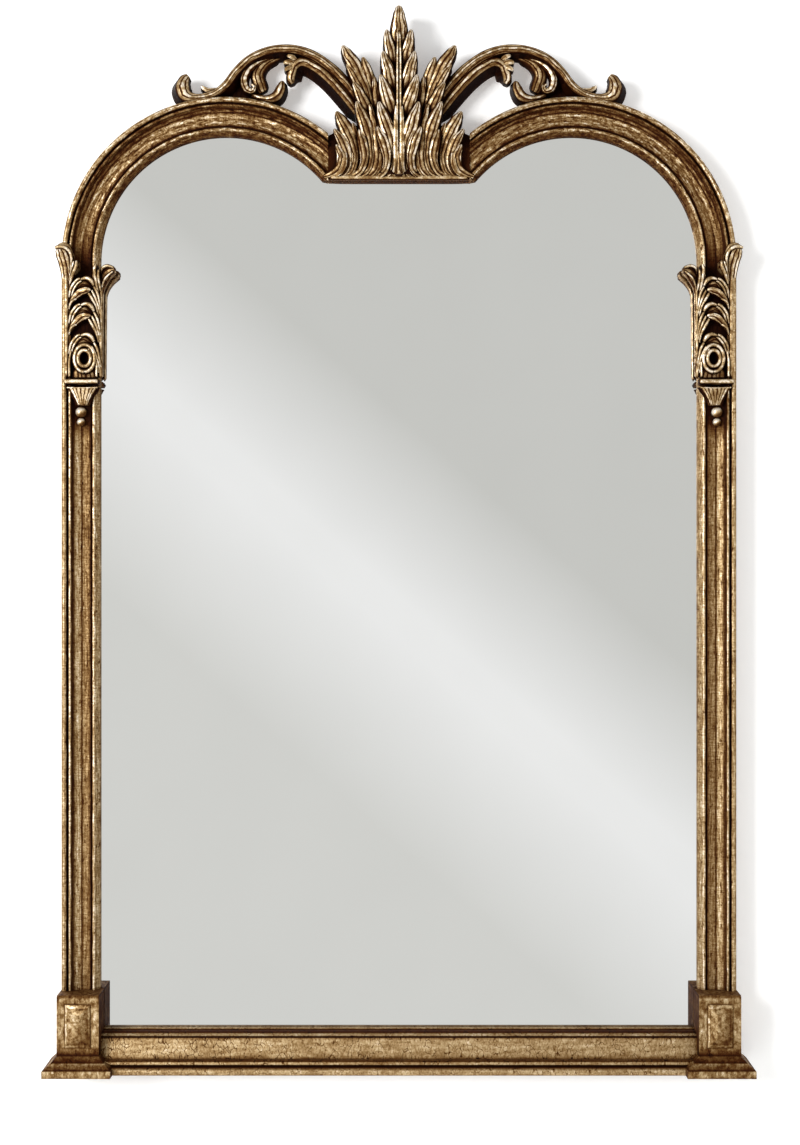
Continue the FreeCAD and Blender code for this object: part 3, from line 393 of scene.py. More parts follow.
def moulding_gilding():
    material, tree, shader = new_material("gilt_moulding")
    where = add_node(tree, "ShaderNodeGroup", node_tree=make_moulding_place())
    feed(tree, where.inputs["Vector"], object_place(tree))
    along = where.outputs["Along"]
    waver = noise(tree, stretched(tree, along, (60.0, 60.0, 90.0)), 1.0, 2.0)
    across = calculate(tree, "MULTIPLY_ADD", calculate(tree, "SUBTRACT", waver, 0.5), 1.1 * MM,
                       where.outputs["Across"])
    share = calculate(tree, "DIVIDE", across, MOULDING_WIDTH)
    # from the glass outward: bevel, bead, groove, cove, fillet bead, groove and outer band; the grooves
    # are dark with glaze and painted shade, the beads and band light with worn leaf and painted highlights
    tone = tones(tree, share, [
        (0.00, 0.56), (0.08, 0.66), (0.105, 0.56), (0.12, 0.82), (0.17, 0.76), (0.19, 0.10), (0.235, 0.02),
        (0.255, 0.26), (0.30, 0.44), (0.43, 0.52), (0.455, 0.44), (0.475, 0.10), (0.495, 0.24),
        (0.515, 0.62), (0.60, 0.68), (0.655, 0.54), (0.69, 0.26), (0.74, 0.14), (0.76, 0.74), (0.80, 0.80),
        (0.82, 0.02), (0.865, 0.02), (0.88, 0.58), (0.95, 0.68), (1.00, 0.50),
    ])
    # the same round the arches, which are darker near the glass with painted shade, and a second dark line
    arch_tone = tones(tree, share, [
        (0.00, 0.28), (0.07, 0.34), (0.10, 0.44), (0.13, 0.88), (0.17, 0.80), (0.20, 0.18), (0.25, 0.09),
        (0.29, 0.52), (0.34, 0.74), (0.40, 0.60), (0.45, 0.47), (0.50, 0.66), (0.55, 0.74), (0.585, 0.45),
        (0.61, 0.08), (0.645, 0.42), (0.67, 0.45), (0.70, 0.13), (0.75, 0.36), (0.78, 0.56), (0.82, 0.12),
        (0.86, 0.22), (0.88, 0.78), (0.95, 0.92), (1.00, 0.70),
    ])
    on_arch_only = spread(tree, where.outputs["Above"], 0.0, 60 * MM)
    turned = add_node(tree, "ShaderNodeMix")
    feed(tree, turned.inputs["Factor"], on_arch_only)
    feed(tree, turned.inputs["A"], tone)
    feed(tree, turned.inputs["B"], arch_tone)
    tone = turned.outputs["Result"]
    streaks = noise(tree, stretched(tree, along, (900.0, 200.0, 60.0)), 1.0, 3.0)
    streaks = spread(tree, streaks, 0.30, 0.70, 0.72, 1.22)
    scratches = noise(tree, stretched(tree, along, (110.0, 110.0, 1100.0)), 1.0, 3.0)
    scratches = spread(tree, scratches, 0.30, 0.66, 0.84, 1.10)
    tone = times(tree, tone, times(tree, streaks, scratches))
    dents = noise(tree, stretched(tree, along, (620.0, 200.0, 210.0)), 1.0, 2.0)
    tone = shade_by(tree, tone, dents, 0.28, 0.42, 0.45, 1.0)
    hatching = noise(tree, stretched(tree, along, (750.0, 200.0, 190.0)), 1.0, 3.0, 0.65)
    rough = times(tree, calculate(tree, "SUBTRACT", hatching, 0.58), on_arch_only)
    tone = calculate(tree, "MULTIPLY_ADD", times(tree, tone, rough), 2.8, tone)
    # the cove stays dark with glaze and painted shade behind the capitals and round what hangs under them
    run = axes(tree, along)
    clear = tones(tree, run["Z"], [
        (0.534, 1.0), (0.543, 0.55), (0.552, 0.16), (0.600, 0.05), (0.670, 0.05), (0.684, 0.22),
        (0.700, 0.75), (0.720, 1.0)])
    in_cove = tones(tree, share, [(0.20, 0.0), (0.26, 1.0), (0.72, 1.0), (0.80, 0.0)])
    # painted shade: glaze here is the cove's darkening round the capitals
    glaze = times(tree, in_cove, calculate(tree, "SUBTRACT", 1.0, clear))
    tone = times(tree, tone, calculate(tree, "SUBTRACT", 1.0, glaze))
    # painted shade: darker in corners and grooves, by the occlusion mask
    tone = shade_by(tree, tone, occlusion_shade(tree, 7 * MM), 0.20, 0.75, 0.25, 1.0)
    gild(tree, shader, along, stain_back(tree, tone), 0.30)
    return material


finish_cad(moulding_gilding(), *both("stile"), *both("arch"))

# Capitals on the stiles
# Cast resin capitals pinned to the stiles: three tiers of acanthus hoods and tongues between plain
# borders, an open eye at the foot, and two leaves that roll out over the moulding at the top.
SIGHT_HALF_WIDTH = 254.0
CORBEL_X = -(SIGHT_HALF_WIDTH + 13.2)
CORBEL_FOOT = 584.3
CORBEL_BACK = 14.0
TIERS = (85.4, 63.7, 38.0)
CUT_SPACING = 3.8
STEPS = 7
SEGMENTS = 28


def soft_step(low, high, value):
    share = min(max((value - low) / (high - low), 0.0), 1.0)
    return share * share * (3 - 2 * share)


def bump_at(value, middle, width):
    return math.exp(-((value - middle) / width) ** 2)


def strand_section(along, side):
    """Front of a rounded strand that is worn bright along its top, with a painted highlight there and
    painted shade on its sides.
    """
    return 1 - side * side, 0.56 + 0.14 * bump_at(side, -0.1, 0.4) - 0.75 * soft_step(0.56, 1.0, abs(side))


def border_section(along, side):
    """Front of a plain rounded border, darker towards its sides with painted shade."""
    return 1 - side * side, 0.52 - 0.40 * soft_step(0.70, 1.0, abs(side))


def hood_section(along, side):
    """Front of a brown hood in the shade of its rim."""
    return 1 - side * side, 0.48 - 0.40 * soft_step(0.50, 1.0, abs(side))


def leaf_section(along, side):
    """Front of a leaf across its width: two veins, a painted highlight along its rims that is stronger on
    the left, painted shade on its sides and towards its foot, and a lighter tip.
    """
    open_end = 1 - soft_step(0.84, 0.97, along)
    vein = bump_at(side, 0.10, 0.15) * open_end
    fine_vein = bump_at(side, -0.42, 0.10) * open_end * soft_step(0.2, 0.5, along)
    rim = bump_at(side, -0.74, 0.14) + 0.6 * bump_at(side, 0.74, 0.13)
    rise = 1 - abs(side) ** 2.2 - 0.34 * vein - 0.14 * fine_vein + 0.12 * rim
    relief = 0.65 + 0.20 * rim - 0.36 * vein - 0.20 * fine_vein - 0.95 * soft_step(0.78, 1.0, abs(side))
    return rise, relief * (0.86 + 0.14 * soft_step(0.1, 0.6, along)) + 0.20 * soft_step(0.70, 0.92, along)


def ground_section(along, side):
    """Front of the ground behind the carving, painted near black as the shade between the lobes."""
    return 1 - abs(side) ** 4, 0.04


def carve_lobe(carving, spine, widths, section, crown, back, draft, wall):
    """One closed carved lobe along a spine, with a half width at each point of it. It is a sphere drawn
    out along the spine, with a shaped front and walls that run back, spreading by a draft on each side."""
    relief = carving.verts.layers.float["relief"]
    strokes = carving.verts.layers.float_vector["strokes"]
    last = len(spine) - 1
    length = sum((spine[index + 1] - spine[index]).length for index in range(last))
    # each lobe's cut lines start at another place, so that neighbours differ
    start = 5 * (spine[0].x + spine[last].z)
    made = bmesh.ops.create_uvsphere(carving, u_segments=SEGMENTS, v_segments=last, radius=1.0)
    for vert in made["verts"]:
        index = round(last * (1 - math.acos(min(max(vert.co.z, -1.0), 1.0)) / math.pi))
        turn = math.atan2(vert.co.y, vert.co.x)
        here = spine[index]
        heading = (spine[min(index + 1, last)] - spine[max(index - 1, 0)]).normalized()
        sideways = heading.cross(Vector((0, -1, 0))).normalized()
        outward = sideways.cross(heading)
        side = math.cos(turn)
        front = math.sin(turn)
        half = 0.0 if index in (0, last) else widths[index]
        ends = soft_step(0.0, 0.12, index / last) * soft_step(0.0, 0.12, 1 - index / last)
        vert[strokes] = Vector((side * max(widths), length * index / last + start, max(widths))) / MM
        if front >= 0 or half == 0:
            rise, tone = section(index / last, side)
            vert.co = here + sideways * (half * side) + outward * (crown * rise * half)
            vert[relief] = tone
        else:
            behind = abs(front) ** 0.5
            slope = ends * (draft[0] if side < 0 else draft[1])
            reach = (half + slope * MM * behind) * math.copysign(abs(side) ** 0.25, side)
            vert.co = here + sideways * reach
            vert.co.y += (-back * MM - here.y) * behind
            # painted shade: the walls that run back get the dark wall tone, rising a little towards the
            # back
            vert[relief] = max(wall, 0.30 * soft_step(0.75, 1.0, behind))


def carve_line(carving, place, line, depths, section, crown, back, draft=(0.0, 0.0), wall=0.04):
    """A lobe along a smooth line of (across, up, width) points. Its depth changes evenly along it
    through the depths that are given."""
    points = []
    for index, (across, up, _) in enumerate(line):
        level = index / (len(line) - 1) * (len(depths) - 1)
        low = min(int(level), len(depths) - 2)
        points.append(place(across, depths[low] + (depths[low + 1] - depths[low]) * (level - low), up))
    spine = []
    widths = []
    for index in range(len(points) - 1):
        before, here = points[max(index - 1, 0)], points[index]
        there, after = points[index + 1], points[min(index + 2, len(points) - 1)]
        leaving = here + (there - before) / 6
        arriving = there - (after - here) / 6
        run = interpolate_bezier(here, leaving, arriving, there, STEPS + 1)
        for step, point in enumerate(run[:-1]):
            share = soft_step(0, 1, step / STEPS) * 0.5 + step / STEPS * 0.5
            spine.append(point)
            widths.append(MM / 2 * (line[index][2] + (line[index + 1][2] - line[index][2]) * share))
    spine.append(points[-1])
    widths.append(MM / 2 * line[-1][2])
    carve_lobe(carving, spine, widths, section, crown, back, draft, wall)


def new_carving():
    carving = bmesh.new()
    carving.verts.layers.float.new("relief")
    carving.verts.layers.float_vector.new("strokes")
    return carving


def carved_material():
    material, tree, shader = new_material("gilt_carving")
    place = object_place(tree)
    relief = add_node(tree, "ShaderNodeAttribute", attribute_name="relief")
    # painted shade: tone is darkened in corners and between lobes by the occlusion mask, and lifted a
    # little on open faces
    occlusion_tone = spread(tree, occlusion_shade(tree, 7 * MM), 0.32, 0.82, 0.0, 1.14)
    tone = times(tree, relief.outputs["Fac"], occlusion_tone)
    # painted shade in fine cut lines along each lobe, with the faces between them lifted a little
    strokes = add_node(tree, "ShaderNodeAttribute", attribute_name="strokes").outputs["Vector"]
    wobble = noise(tree, stretched(tree, strokes, (0.08, 0.07, 0.0)), 1.0, 2.0)
    parts = axes(tree, strokes)
    cut_count = calculate(tree, "MULTIPLY_ADD", parts["X"], 1 / CUT_SPACING, times(tree, wobble, 1.4))
    between = calculate(tree, "PINGPONG", cut_count, 0.5)
    cuts = spread(tree, between, 0.08, 0.27, 1.0, 0.0)
    cuts = times(tree, cuts, spread(tree, parts["Z"], 2.2, 3.2))
    tone = times(tree, tone, calculate(tree, "MULTIPLY_ADD", cuts, -0.90, 1.10))
    rubbing = spread(tree, noise(tree, place, 170.0, 2.0), 0.34, 0.66, 0.76, 1.16)
    gild(tree, shader, place, times(tree, tone, rubbing), 0.10)
    return material


carved_gilding = carved_material()


def keep_carving(carving, name, *node_names):
    """Turns a finished carving into a piece that stands for its solids."""
    mesh = bpy.data.meshes.new(name)
    bmesh.ops.recalc_face_normals(carving, faces=carving.faces)
    for face in carving.faces:
        face.smooth = True
    carving.to_mesh(mesh)
    carving.free()
    mesh.materials.append(carved_gilding)
    piece = bpy.data.objects.new(name, mesh)
    bpy.context.scene.collection.objects.link(piece)
    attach(piece, "frame")
    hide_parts(*node_names)


def keep_pair(carving, name, node_name):
    """Keeps a left carving, and its mirror image on the right."""
    other = carving.copy()
    bmesh.ops.scale(other, vec=(-1, 1, 1), verts=other.verts)
    keep_carving(carving, "left_" + name, "left_" + node_name)
    keep_carving(other, "right_" + name, "right_" + node_name)


def on_corbel(outward, depth, up):
    return Vector((CORBEL_X - outward, -depth, CORBEL_FOOT + up)) * MM


capital = new_carving()
ground = [(0.5, 0.5, 30.0), (0.5, 40.0, 30.0), (0.0, 84.0, 26.0)]
carve_line(capital, on_corbel, ground, (19, 19), ground_section, 0.08, 13.0)
left_border = [(13.8, 0.5, 4.8), (13.9, 30.0, 4.8), (13.9, 62.0, 4.8), (14.2, 90.0, 4.4)]
right_border = [(-14.6, 0.5, 3.2), (-14.8, 30.0, 3.2), (-15.0, 60.0, 3.2), (-15.4, 78.0, 3.2)]
for border in (left_border, right_border):
    carve_line(capital, on_corbel, border, (22.5, 23.5), border_section, 0.8, 13.5, wall=0.46)

for tier in TIERS:
    hood = [(8.5, tier - 12, 5.0), (3.5, tier - 6, 8.0), (-2.0, tier - 4.5, 8.5), (-8.5, tier - 8, 5.0)]
    carve_line(capital, on_corbel, hood, (22, 25, 22), hood_section, 0.5, CORBEL_BACK)
    for strand in (
        [(11.8, tier - 17, 2.0), (9.6, tier - 8.5, 2.8), (5.0, tier - 2.4, 2.8), (1.4, tier - 0.6, 2.0)],
        [(10.0, tier - 18.5, 2.0), (7.4, tier - 10, 2.6), (3.4, tier - 4.6, 2.4), (0.4, tier - 2.8, 1.6)],
    ):
        carve_line(capital, on_corbel, strand, (23, 27, 28), strand_section, 1.0, CORBEL_BACK)
    cap = [
        (1.8, tier - 1.6, 1.8), (-3.4, tier - 0.4, 3.6), (-7.6, tier - 2.4, 4.4), (-10.0, tier - 6.8, 2.4),
    ]
    carve_line(capital, on_corbel, cap, (27, 29, 27), strand_section, 0.9, CORBEL_BACK)
    for strand in (
        [(-4.8, tier - 12, 2.4), (-8.6, tier - 18.5, 3.2), (-11.6, tier - 25, 3.0),
         (-13.2, tier - 33, 1.8)],
        [(-9.6, tier - 7, 2.2), (-12.6, tier - 13, 2.8), (-14.2, tier - 21, 2.4), (-14.8, tier - 28, 1.6)],
        [(-7.6, tier - 10, 2.2), (-10.8, tier - 16.5, 2.8), (-13.2, tier - 24, 2.4),
         (-14.2, tier - 31, 1.6)],
    ):
        carve_line(capital, on_corbel, strand, (27, 26, 23), strand_section, 1.0, CORBEL_BACK)
for tier in TIERS[:2]:
    tongue = [
        (11.6, tier - 24.5, 2.4), (7.6, tier - 17.2, 5.4), (2.4, tier - 12.6, 6.6),
        (-2.6, tier - 10.8, 6.4), (-5.8, tier - 10.6, 4.4), (-7.0, tier - 11.2, 1.6),
    ]
    carve_line(capital, on_corbel, tongue, (23, 27, 29.5, 29), leaf_section, 0.5, CORBEL_BACK, (0.5, 1.5))
    under_strand = [(11.8, tier - 26.5, 1.8), (9.2, tier - 20.5, 2.6), (4.6, tier - 17.4, 2.0)]
    carve_line(capital, on_corbel, under_strand, (23, 27, 26), strand_section, 1.0, CORBEL_BACK)

eye_bed = [(-1.6, 1.0, 21.0), (-1.6, 5.0, 20.0), (-1.6, 9.0, 16.0)]
carve_line(capital, on_corbel, eye_bed, (24, 24), border_section, 0.1, CORBEL_BACK)
for radii, width, depth in (((5.2, 6.8), 3.6, 28.0), ((8.4, 11.4), 4.0, 26.5)):
    ring = []
    for step in range(17):
        turn = math.radians(-90 + 22.5 * step)
        ring.append((-1.8 + radii[0] * math.cos(turn), 17.4 + radii[1] * math.sin(turn), width))
    carve_line(capital, on_corbel, ring, (depth, depth), strand_section, 1.0, CORBEL_BACK)
for strand in ([(11.0, 1.0, 2.4), (11.2, 14.0, 2.8), (9.6, 25.0, 2.0)],
               [(-11.6, 1.0, 2.4), (-11.8, 14.0, 2.8), (-11.0, 24.0, 2.0)]):
    carve_line(capital, on_corbel, strand, (25, 25), strand_section, 1.0, CORBEL_BACK)

outer_flare = [
    (12.4, 62.0, 4.0), (13.0, 76.0, 7.0), (13.6, 88.0, 9.4), (14.6, 98.0, 11.4), (16.6, 105.0, 11.6),
    (18.4, 109.0, 9.0), (19.4, 110.6, 5.0),
]
carve_line(capital, on_corbel, outer_flare, (22, 24, 27, 30), leaf_section, 0.25, CORBEL_BACK, (0.5, 0.5))
flare_roll = [(9.4, 106.5, 3.0), (12.4, 112.0, 4.2), (17.0, 113.2, 4.0), (21.0, 111.6, 2.4)]
carve_line(capital, on_corbel, flare_roll, (26, 27), border_section, 0.6, CORBEL_BACK)
inner_flare = [
    (-13.6, 68.0, 4.0), (-15.0, 78.0, 6.4), (-18.4, 86.0, 8.4), (-22.6, 90.4, 7.4), (-26.0, 92.0, 3.6),
    (-27.4, 92.4, 1.4),
]
carve_line(capital, on_corbel, inner_flare, (22, 25, 29, 30), hood_section, 0.25, CORBEL_BACK, wall=0.46)
for rim in (
    [(11.4, 82.0, 2.0), (9.4, 94.0, 2.8), (8.8, 102.0, 3.0), (10.6, 107.6, 3.2), (14.6, 110.6, 3.4),
     (19.0, 111.0, 3.6), (22.6, 110.0, 2.0)],
    [(11.0, 80.0, 2.4), (7.8, 88.0, 3.4), (4.8, 94.0, 3.8), (4.2, 99.4, 2.2)],
    [(11.4, 86.0, 1.8), (8.0, 94.0, 2.4), (6.6, 99.0, 1.6)],
    [(-15.2, 88.0, 2.0), (-17.0, 93.0, 2.6), (-21.6, 95.0, 2.8), (-27.2, 93.4, 2.0)],
    [(-15.8, 77.0, 1.8), (-20.0, 84.6, 2.2), (-26.8, 90.6, 1.8)],
    [(-13.0, 72.0, 2.4), (-11.6, 84.0, 3.4), (-10.8, 92.0, 3.4), (-12.2, 96.4, 2.0)],
    [(-15.2, 74.0, 2.0), (-14.0, 85.0, 2.6), (-14.4, 92.0, 1.8)],
):
    carve_line(capital, on_corbel, rim, (24, 29, 31, 31), strand_section, 1.0, CORBEL_BACK, wall=0.40)
keep_pair(capital, "capital", "corbel")

# Ledges, drops and beads under the capitals
# A rounded ledge, a tapered drop with hollow sides and two round beads, all cast in resin and pinned
# to the stile.


def drop_section(along, side):
    """Flat front of the drop, with a painted highlight along its edges and painted shade at the very edge.
    """
    relief = 0.54 + 0.22 * bump_at(abs(side), 0.82, 0.12) - 0.5 * soft_step(0.94, 1.0, abs(side))
    return 1 - abs(side) ** 8, relief


ledge = new_carving()
carve_line(ledge, on_corbel, [(15.6, -2.3, 4.4), (0.5, -2.3, 4.4), (-14.6, -2.3, 4.4)], (30.5, 30.5),
           strand_section, 1.1, 13.5, (0.5, 0.5), 0.30)
keep_pair(ledge, "ledge", "corbel_ledge")

drop = new_carving()
drop_bed = [
    (0.2, -6.4, 29.4), (0.2, -9.5, 26.0), (0.2, -14.0, 19.4), (0.2, -18.4, 14.4), (0.2, -22.2, 11.4),
]
carve_line(drop, on_corbel, drop_bed, (22, 22), hood_section, 0.05, CORBEL_BACK)
drop_face = [
    (0.2, -6.6, 27.0), (0.2, -10.0, 21.0), (0.2, -14.0, 15.6), (0.2, -18.4, 11.0), (0.2, -21.8, 8.0),
]
carve_line(drop, on_corbel, drop_face, (25.5, 24.5), drop_section, 0.12, CORBEL_BACK, (1.0, 1.0))
carve_line(drop, on_corbel, [(14.0, -7.0, 2.0), (0.2, -7.4, 2.2), (-13.6, -7.0, 2.0)], (26, 26),
           strand_section, 1.0, 16.0)
keep_pair(drop, "drop", "corbel_drop")


def bead_gilding():
    material, tree, shader = new_material("gilt_bead")
    facing = surface_normal(tree)
    # painted light: each bead is lighter on its upper left and darker on its lower right, as if lit from
    # the upper left, and darker in corners by the occlusion mask
    lit_from_upper_left = calculate(tree, "SUBTRACT", facing["Z"], times(tree, facing["X"], 0.6))
    tone = spread(tree, lit_from_upper_left, -0.75, 0.45, 0.22, 1.10)
    tone = shade_by(tree, tone, occlusion_shade(tree, 6 * MM), 0.25, 0.75, 0.25, 1.0)
    gild(tree, shader, object_place(tree), tone, 0.0)
    return material


finish_cad(bead_gilding(), *both("corbel_beads"))

# Scrolls on the arches
# Cast resin scrolls pinned to the top of each arch. A long S-scroll rises from a rolled end to the
# palmette, a second stem runs under it, and a leafy volute fills the space below.
ARCH_TOP = 823.3
SCROLL_BACK = 3.0


def on_arch(across, depth, up):
    return Vector((across - ARCH_X / MM, -depth, ARCH_TOP + up)) * MM


def stem_section(along, side):
    """Rounded stem with two dark lines along it, a painted highlight along its top and painted shade on its
    sides.
    """
    lines = soft_step(0.30, 0.42, along) * (bump_at(side, 0.50, 0.11) + 0.6 * bump_at(side, -0.50, 0.09))
    rise = math.sqrt(max(1 - side * side, 0.0)) * (1 - 0.20 * lines)
    edges = soft_step(0.74, 1.0, abs(side))
    return rise, 0.48 + 0.22 * bump_at(side, -0.10, 0.30) - 0.38 * lines - 0.75 * edges


def bead_section(along, side):
    """Rounded leaf edge that is cut into a row of small bright beads, with painted shade in the cuts and on
    its sides.
    """
    cut = 0.5 + 0.5 * math.cos(along * 2 * math.pi * 11)
    rise = math.sqrt(max(1 - side * side, 0.0)) * (1 - 0.16 * cut)
    return rise, 0.88 - 0.34 * cut - 0.7 * soft_step(0.7, 1, abs(side))


outer_line = [
    (-31.4, 19.0, 4.4), (-35.0, 15.0, 10.0), (-36.4, 8.0, 13.4), (-33.2, 1.2, 12.4), (-24.5, -0.8, 8.4),
    (-15.5, 1.0, 7.0), (-6.5, 4.8, 7.2), (1.5, 11.7, 7.4), (9.0, 21.6, 7.4), (18.5, 31.0, 7.4),
    (30.5, 37.6, 7.6), (44.5, 41.0, 7.8), (59.5, 40.6, 8.0), (74.5, 35.6, 8.4), (89.5, 25.4, 8.6),
    (99.5, 16.0, 8.6), (109.0, 4.6, 8.4), (118.0, -8.0, 7.0),
]
outer = new_carving()
carve_line(outer, on_arch, outer_line, (17, 19, 19.5, 19, 18), stem_section, 1.0, SCROLL_BACK, (1.0, 6.0))
small_leaf = [(6.0, 12.0, 3.0), (-4.0, 8.0, 5.0), (-13.0, 6.4, 5.4), (-18.4, 8.4, 4.0), (-20.8, 10.6, 1.6)]
carve_line(outer, on_arch, small_leaf, (13, 16, 17), leaf_section, 0.6, 5.0, (1.5, 0.5))
keep_pair(outer, "scroll", "outer_scroll")

inner_line = [
    (56.4, 12.4, 4.0), (55.2, 16.4, 8.0), (56.2, 22.4, 8.6), (59.0, 28.0, 8.4), (65.0, 30.6, 8.4),
    (74.5, 27.2, 8.8), (86.5, 18.0, 9.0), (97.5, 6.4, 9.0), (109.0, -7.6, 8.8), (118.0, -20.0, 7.0),
]
inner = new_carving()
carve_line(inner, on_arch, inner_line, (15, 17, 17, 16), stem_section, 1.0, SCROLL_BACK, (1.0, 6.5))
for lobe in (
    [(61.0, 28.0, 3.0), (56.0, 29.6, 5.6), (51.6, 29.6, 4.6), (49.4, 28.6, 1.6)],
    [(61.0, 31.0, 3.0), (57.6, 33.6, 5.0), (54.0, 35.0, 3.8), (52.4, 35.2, 1.4)],
    [(60.0, 26.0, 3.0), (55.6, 25.6, 5.0), (51.8, 24.0, 4.0), (50.4, 22.4, 1.4)],
):
    carve_line(inner, on_arch, lobe, (17, 21.5, 20), leaf_section, 0.7, 6.0, (0.5, 0.5))
keep_pair(inner, "stem", "inner_scroll")

volute = new_carving()
for web in ([(3.0, 6.0, 6.0), (12.0, 2.6, 10.0), (24.0, 3.0, 10.0), (31.0, 1.0, 6.0)],
            [(16.0, 27.0, 4.0), (12.0, 18.0, 7.0), (10.0, 8.0, 12.0), (10.0, 1.0, 13.0)]):
    carve_line(volute, on_arch, web, (8, 8), ground_section, 0.08, SCROLL_BACK)
shell = [
    (46.0, 37.0, 5.0), (36.0, 33.4, 8.0), (29.0, 27.6, 10.0), (26.2, 19.6, 11.0), (28.6, 11.4, 11.0),
    (31.6, 5.6, 8.0),
]
carve_line(volute, on_arch, shell, (12, 13, 13), hood_section, 0.3, SCROLL_BACK, (3.0, 0.5))
leaf_edge = [
    (38.0, 36.0, 4.0), (26.5, 30.8, 5.6), (18.6, 23.6, 6.6), (15.8, 15.6, 6.6), (17.6, 8.4, 6.4),
    (22.4, 6.0, 5.0), (24.4, 9.6, 3.6), (21.6, 11.6, 2.0),
]
carve_line(volute, on_arch, leaf_edge, (13, 17, 18.5, 18.5), bead_section, 0.9, SCROLL_BACK, (0.5, 1.5))
tail = [
    (22.0, 3.4, 3.0), (29.0, 0.6, 5.0), (36.6, -1.0, 8.2), (43.4, 1.8, 9.6), (46.6, 7.6, 8.8),
    (47.6, 12.4, 5.6), (47.4, 14.2, 2.6),
]
carve_line(volute, on_arch, tail, (15, 17, 18, 17), stem_section, 0.9, SCROLL_BACK, (0.5, 2.5))
keep_pair(volute, "volute_leaf", "volute")

# Crest block and palmette
# A dark glazed softwood block, kept near black as painted shade behind the palmette, joins the two
# arches. Screwed to it from the back is a palmette of cast resin in five leaves: a tall one in the
# middle, one leaning out on each side and a low one beside each arch.
CREST_FOOT = 754.0
LEAF_BACK = 10.0
LIP_DEPTH = 20.5
CENTRE_DEPTH = 39.5
SIDE_DEPTH = 34.6
LOW_DEPTH = 30.6


def block_gilding():
    material, tree, shader = new_material("gilt_block")
    facing = surface_normal(tree)
    # painted shade: the block is kept near black, darkest in corners by the occlusion mask, with its
    # underside a little lighter
    tone = calculate(tree, "ADD", spread(tree, occlusion_shade(tree, 9 * MM), 0.35, 0.95, 0.01, 0.12),
                     spread(tree, facing["Z"], -0.9, -0.6, 0.10, 0.0))
    gild(tree, shader, object_place(tree), stain_back(tree, tone), 0.0)
    return material


finish_cad(block_gilding(), "crest_block")


def on_crest(across, depth, up):
    return Vector((across, -depth, CREST_FOOT + up)) * MM


def mirrored(line):
    return [(-across, up, width) for across, up, width in line]


def carve_leaf(ground, petals, depth, shade):
    """A leaf of long overlapping petals, whose tips curl forward, over a ground painted near black as
    shade.
    """
    def petal_section(along, side):
        rise, relief = leaf_section(along, side)
        return rise, shade * relief

    carving = new_carving()
    carve_line(carving, on_crest, ground, (depth - 16, depth - 16), ground_section, 0.08, LEAF_BACK)
    depths = (LIP_DEPTH - 2, depth - 8.5, depth - 4, depth - 5)
    for petal in petals:
        carve_line(carving, on_crest, petal, depths, petal_section, 0.5, LEAF_BACK, (1.4, 1.4))
    return carving


centre_ground = [(0, 3.0, 34.0), (0, 24.0, 22.0), (0, 60.0, 24.0), (0, 95.0, 15.0), (0, 118.0, 7.0)]
centre_side = [
    [(3.0, 78.0, 5.0), (4.0, 90.0, 8.5), (6.0, 102.0, 12.0), (8.2, 111.0, 9.6), (9.7, 118.4, 6.2),
     (10.4, 123.4, 1.8)],
    [(3.2, 58.0, 5.0), (4.6, 70.0, 9.5), (7.2, 82.0, 13.4), (10.0, 92.0, 10.8), (12.2, 99.8, 6.6),
     (13.3, 105.4, 1.8)],
    [(3.4, 38.0, 5.0), (5.0, 50.0, 10.0), (8.0, 62.0, 14.0), (11.4, 72.0, 11.4), (14.0, 80.0, 6.8),
     (15.4, 85.6, 1.8)],
    [(11.5, 2.4, 6.4), (5.8, 8.0, 5.8), (4.8, 19.0, 6.4), (6.6, 31.0, 10.6), (10.0, 41.0, 13.0),
     (13.4, 50.6, 10.8), (15.7, 58.2, 6.2), (16.8, 62.8, 1.8)],
    [(18.0, 2.4, 6.4), (12.0, 7.0, 6.2), (10.0, 14.6, 7.0), (11.2, 23.6, 9.4), (14.2, 32.0, 8.8),
     (17.0, 38.0, 5.4), (18.4, 41.8, 1.8)],
    [(5.6, 2.4, 5.0), (2.8, 9.0, 4.6), (2.6, 24.0, 4.6), (2.6, 44.0, 4.0), (2.0, 60.0, 2.4)],
]
centre_petals = [[(0, 84.0, 6.0), (0, 100.0, 12.0), (0, 115.0, 15.6), (0, 126.0, 14.4), (0, 135.0, 10.4),
                  (0, 140.6, 6.6), (0, 143.4, 3.0)]]
for petal in centre_side:
    centre_petals += [petal, mirrored(petal)]
centre_leaf = carve_leaf(centre_ground, centre_petals, CENTRE_DEPTH, 1.04)
for across in (-1.3, 1.3):
    rib = [(across, 40.0, 1.6), (across, 70.0, 2.2), (across, 100.0, 2.0), (across / 2, 122.0, 1.0)]
    carve_line(centre_leaf, on_crest, rib, (34, 35.5, 36.5, 38), strand_section, 1.0, LEAF_BACK)
stem = [(0, 2.4, 7.0), (0, 9.0, 3.6), (0, 26.0, 3.6), (0, 44.0, 2.6)]
carve_line(centre_leaf, on_crest, stem, (30, 31, 31), border_section, 0.8, LEAF_BACK)
lip = [(-58.0, 1.9, 2.8), (-40.0, 1.9, 3.6), (40.0, 1.9, 3.6), (58.0, 1.9, 2.8)]
carve_line(centre_leaf, on_crest, lip, (LIP_DEPTH, LIP_DEPTH), border_section, 0.3, LEAF_BACK, wall=0.12)
keep_carving(centre_leaf, "centre_leaf", "crest_centre_leaf")

